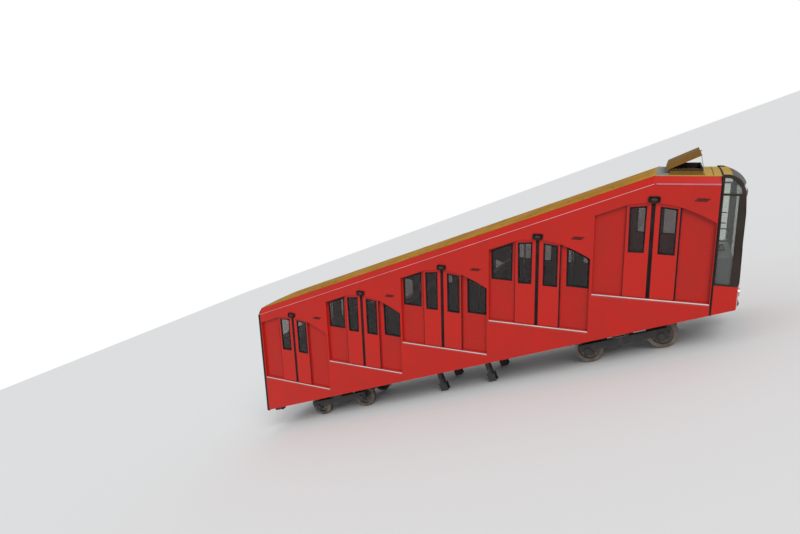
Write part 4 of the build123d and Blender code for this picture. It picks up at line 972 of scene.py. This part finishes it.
# Lower end: rubber round the windscreen, wipers, and the screws of the apron
END_TOP = sill_line(LOWER_END) + EAVES + CROWN - 0.300 * (1 - sin(SLOPE)) / cos(SLOPE)
GLASS_FOOT = LOW_SILL + 0.900
GLASS_TOP = END_TOP - 0.070
SEAL = 0.022
x = LOWER_END + 0.020
seals = [run_of("seal", [(x, -1.130, z), (x, 1.130, z)], SEAL, SEAL, "Y")
         for z in (GLASS_FOOT + SEAL / 2, GLASS_TOP - SEAL / 2)]
seals += [run_of("seal", [(x, y, GLASS_FOOT), (x, y, GLASS_TOP)], SEAL, SEAL, "Z")
          for y in (-1.119, 1.119)]
placed(eased(joined("lower_glass_seals", seals), 0.003), "car", "rubber_seal")
wipers("lower_wipers", lambda y: LOWER_END, GLASS_FOOT,
       (0.034, 0.006, 0.012, 0.018, 0.023), (0.040, 0.520, 0.250, 0.800))
end_foot = sill_line(LOWER_END) - SKIRT_DROP
screws = [(LOWER_END + 0.010, y, z) for y in (-1.05, -0.35, 0.35, 1.05)
          for z in (end_foot + 0.110, GLASS_FOOT - 0.110)]
placed(bolt_heads("apron_screws", screws, 0.010, 0.005, (-1, 0, 0)),
       "car", "galvanised")

# Cabin: moulded seat and back shells, rails on the screens, lamps in the ceiling
SEAT_Y = [-1.050 + 0.5275 * k for k in range(4)]
SHELL_Y = (SEAT_Y[0] + 0.010, SEAT_Y[0] + 0.517)
for way, rise, label in ((-1, 0, "facing_down"), (1, RISE, "facing_up")):
    benches = [(x + way * 0.015, z + rise) for x, z in STEP_EDGES]
    x, z = benches[0]
    near, far = sorted((x + way * 0.075, x + way * 0.425))
    seat = block("seat", (near, SHELL_Y[0], z + 0.4402), (far, SHELL_Y[1], z + 0.462))
    seat = eased(sunk(seat, looking(z=1), 0.045, (0, 0, -0.010)), 0.006, 3)
    near, far = sorted((x + way * 0.0602, x + way * 0.078))
    back = block("back", (near, SHELL_Y[0], z + 0.480), (far, SHELL_Y[1], z + 0.880))
    back = eased(sunk(back, looking(x=way), 0.050, (-way * 0.008, 0, 0)), 0.006, 3)
    shells = repeated(joined("seat_shells_" + label, [seat, back]),
                      [(bench_x - x, y - SEAT_Y[0], bench_z - z)
                       for bench_x, bench_z in benches for y in SEAT_Y][1:])
    placed(shells, "car", "seat_shell")

SCREEN = 1.000
x, z = STEP_EDGES[0]
z += RISE + SCREEN
rails = [rod("rail", (x, -1.040, z + 0.045), (x, 1.040, z + 0.045), 0.016, 20)]
for y in (-1.02, -0.34, 0.34, 1.02):
    rails.append(rod("bracket", (x, y, z), (x, y, z + 0.040), 0.010, 12))
rails = repeated(eased(joined("screen_rails", rails), 0.002), bay_steps(range(1, 4)))
placed(rails, "car", "bright_steel")

ceiling = SLOPE_TOP + CROWN - SKIN
lamps = []
for x, _ in SEAMS[:-1]:
    place = along_eaves(x + 0.2)
    lamps.append(block("lamp", (place - 0.60, -0.075, ceiling - 0.036),
                       (place + 0.60, 0.075, ceiling - 0.0005)))
lamps = laid_on_track(joined("ceiling_lamps", lamps))
placed(eased(lamps, 0.012, 3), "car", "lamp_diffuser")

# Controls on both desks: a raised panel, two levers with knobs, and a row of buttons
for label, x, z, way in (("upper", TOP_SEAM + 1.180, TOP_SILL + 0.866, 1),
                         ("lower", LOWER_END + 0.290, LOW_SILL + 0.838, -1)):
    near, far = sorted((x, x + way * 0.200))
    panel = block("panel", (near, -0.300, z - 0.020), (far, 0.300, z + 0.050))
    panel = sunk(panel, looking(z=1), 0.018, (0, 0, -0.008))
    parts = [eased(panel, 0.006, 3)]
    for y in (-0.220, 0.220):
        parts.append(rod("lever", (x + way * 0.060, y, z + 0.040),
                         (x - way * 0.010, y, z + 0.150), 0.007, 16))
        bpy.ops.object.select_all(action="DESELECT")
        bpy.ops.mesh.primitive_uv_sphere_add(
            segments=20, ring_count=12, radius=0.021,
            location=(x - way * 0.012, y, z + 0.158), scale=(1, 1, 1.25))
        parts.append(started("knob"))
    button_x = x + way * 0.130
    for k in range(6):
        y = -0.125 + 0.05 * k
        parts.append(eased(rod("button", (button_x, y, z + 0.038), (button_x, y, z + 0.056),
                               0.012, 20), 0.002))
    placed(joined(label + "_desk_controls", parts), "car", "rubber_seal")


# Running gear: bright treads, wheel bolts, covers over the journals and the bearing pads
def bolt_circle(place, y, radius, count, turned=0.0):
    """Places evenly round an axle's line, from so far round."""
    angles = [turned + 2 * pi * k / count for k in range(count)]
    return [(place + radius * cos(a), y, AXLE_HEIGHT + radius * sin(a)) for a in angles]


TREAD = 0.301
axles = [place + way * AXLE_SPREAD for _, place in BOGIES for way in (-1, 1)]
for number, place in enumerate(axles, 1):
    axle = f"axle_{number}"
    treads = [hoop("tread", (place, y, AXLE_HEIGHT), TREAD, width, 0.0015, sides=96)
              for y, width in ((-RAIL, 0.070), (RAIL, 0.194))]
    treads = joined(f"wheel_treads_{number}", treads)
    placed(laid_on_track(treads), axle, "tread_steel")
    bolts = bolt_heads(f"wheel_bolts_{number}",
                       bolt_circle(place, -RAIL - 0.015, 0.165, 8), 0.016, 0.014)
    bolts = repeated(bolts, [(0, 2 * RAIL, 0)])
    placed(laid_on_track(bolts), axle, "forged_steel")

CAP_IN = 0.7602
CAP_OUT = 0.793
PAD = (0.1035, 0.0535)
PLATE = (0.110, 0.060)
for bogie, place in BOGIES:
    body = bogie + "_bogie"
    first = place - AXLE_SPREAD
    cap = rod("cap", (first, -CAP_OUT, AXLE_HEIGHT), (first, -CAP_IN, AXLE_HEIGHT), 0.080, 40)
    cap = eased(sunk(cap, looking(y=1), 0.024, (0, -0.022, 0)), 0.004, 3)
    bolts = bolt_heads("bolts", bolt_circle(first, -CAP_OUT, 0.066, 4, pi / 4), 0.008, 0.006)
    caps = repeated(joined(bogie + "_axle_caps", [cap, bolts]), [(2 * AXLE_SPREAD, 0, 0)])
    paired(laid_on_track(caps), body, "frame_grey")
    pad = block(bogie + "_bearing_rubber", (place - PAD[0], -BEAM_Y - PAD[1], 0.470),
                (place + PAD[0], -BEAM_Y + PAD[1], 0.645))
    paired(laid_on_track(eased(pad, 0.006, 3)), body, "rubber_seal")
    plates = [eased(block("plate", (place - PLATE[0], -BEAM_Y - PLATE[1], w - 0.003),
                          (place + PLATE[0], -BEAM_Y + PLATE[1], w + 0.003)), 0.001)
              for w in (0.476, 0.516, 0.556, 0.596, 0.636)]
    plates = laid_on_track(joined(bogie + "_bearing_plates", plates))
    paired(plates, body, "galvanised")
    heads = [(place + u, -BEAM_FACE, w) for u in (-0.50, -0.32, 0.32, 0.50) for w in (0.345, 0.415)]
    heads = laid_on_track(bolt_heads(bogie + "_bogie_bolts", heads))
    paired(heads, body, "forged_steel")

# Rail brakes: linings inside the jaws and a spring case across each pair
CASE_UP = 0.300
linings, cases = [], []
for place in RAIL_BRAKES:
    for way in (-1, 1):
        y = -RAIL + way * 0.0435
        linings.append(block("lining", (place - 0.095, y - 0.0015, -0.004),
                             (place + 0.095, y + 0.0015, 0.150)))
    cases.append(rod("case", (place, -RAIL - 0.0448, CASE_UP), (place, -RAIL + 0.0448, CASE_UP),
                     0.036, 28))
    for way in (-1, 1):
        y = -RAIL + way * 0.0855
        cases.append(rod("cap", (place, y, CASE_UP), (place, y + way * 0.018, CASE_UP),
                         0.026, 24))
linings = laid_on_track(joined("brake_linings", linings))
paired(eased(linings, 0.0008), "car", "rubber_seal")
cases = laid_on_track(joined("brake_spring_cases", cases))
paired(eased(cases, 0.003), "car", "forged_steel")

# Bolt heads on the underframe's beams, and bands round the buffers
heads = [(u + du, -BEAM_FACE, w) for u in (-12.0, -10.4, -8.6, -7.05, -5.65, -4.1, -2.3, -1.2)
         for du in (-0.06, 0.06) for w in (0.700, 0.790)]
heads = laid_on_track(bolt_heads("underframe_bolts", heads, 0.014, 0.010))
paired(heads, "car", "forged_steel")
hoops = [hoop("hoop", (-12.600 - out, -BEAM_Y, 0.520), 0.0765, 0.012, 0.006, "X", 32)
         for out in (0.020, 0.120, 0.160, 0.200)]
hoops = laid_on_track(eased(joined("buffer_bands", hoops), 0.001))
paired(hoops, "car", "rubber_seal")
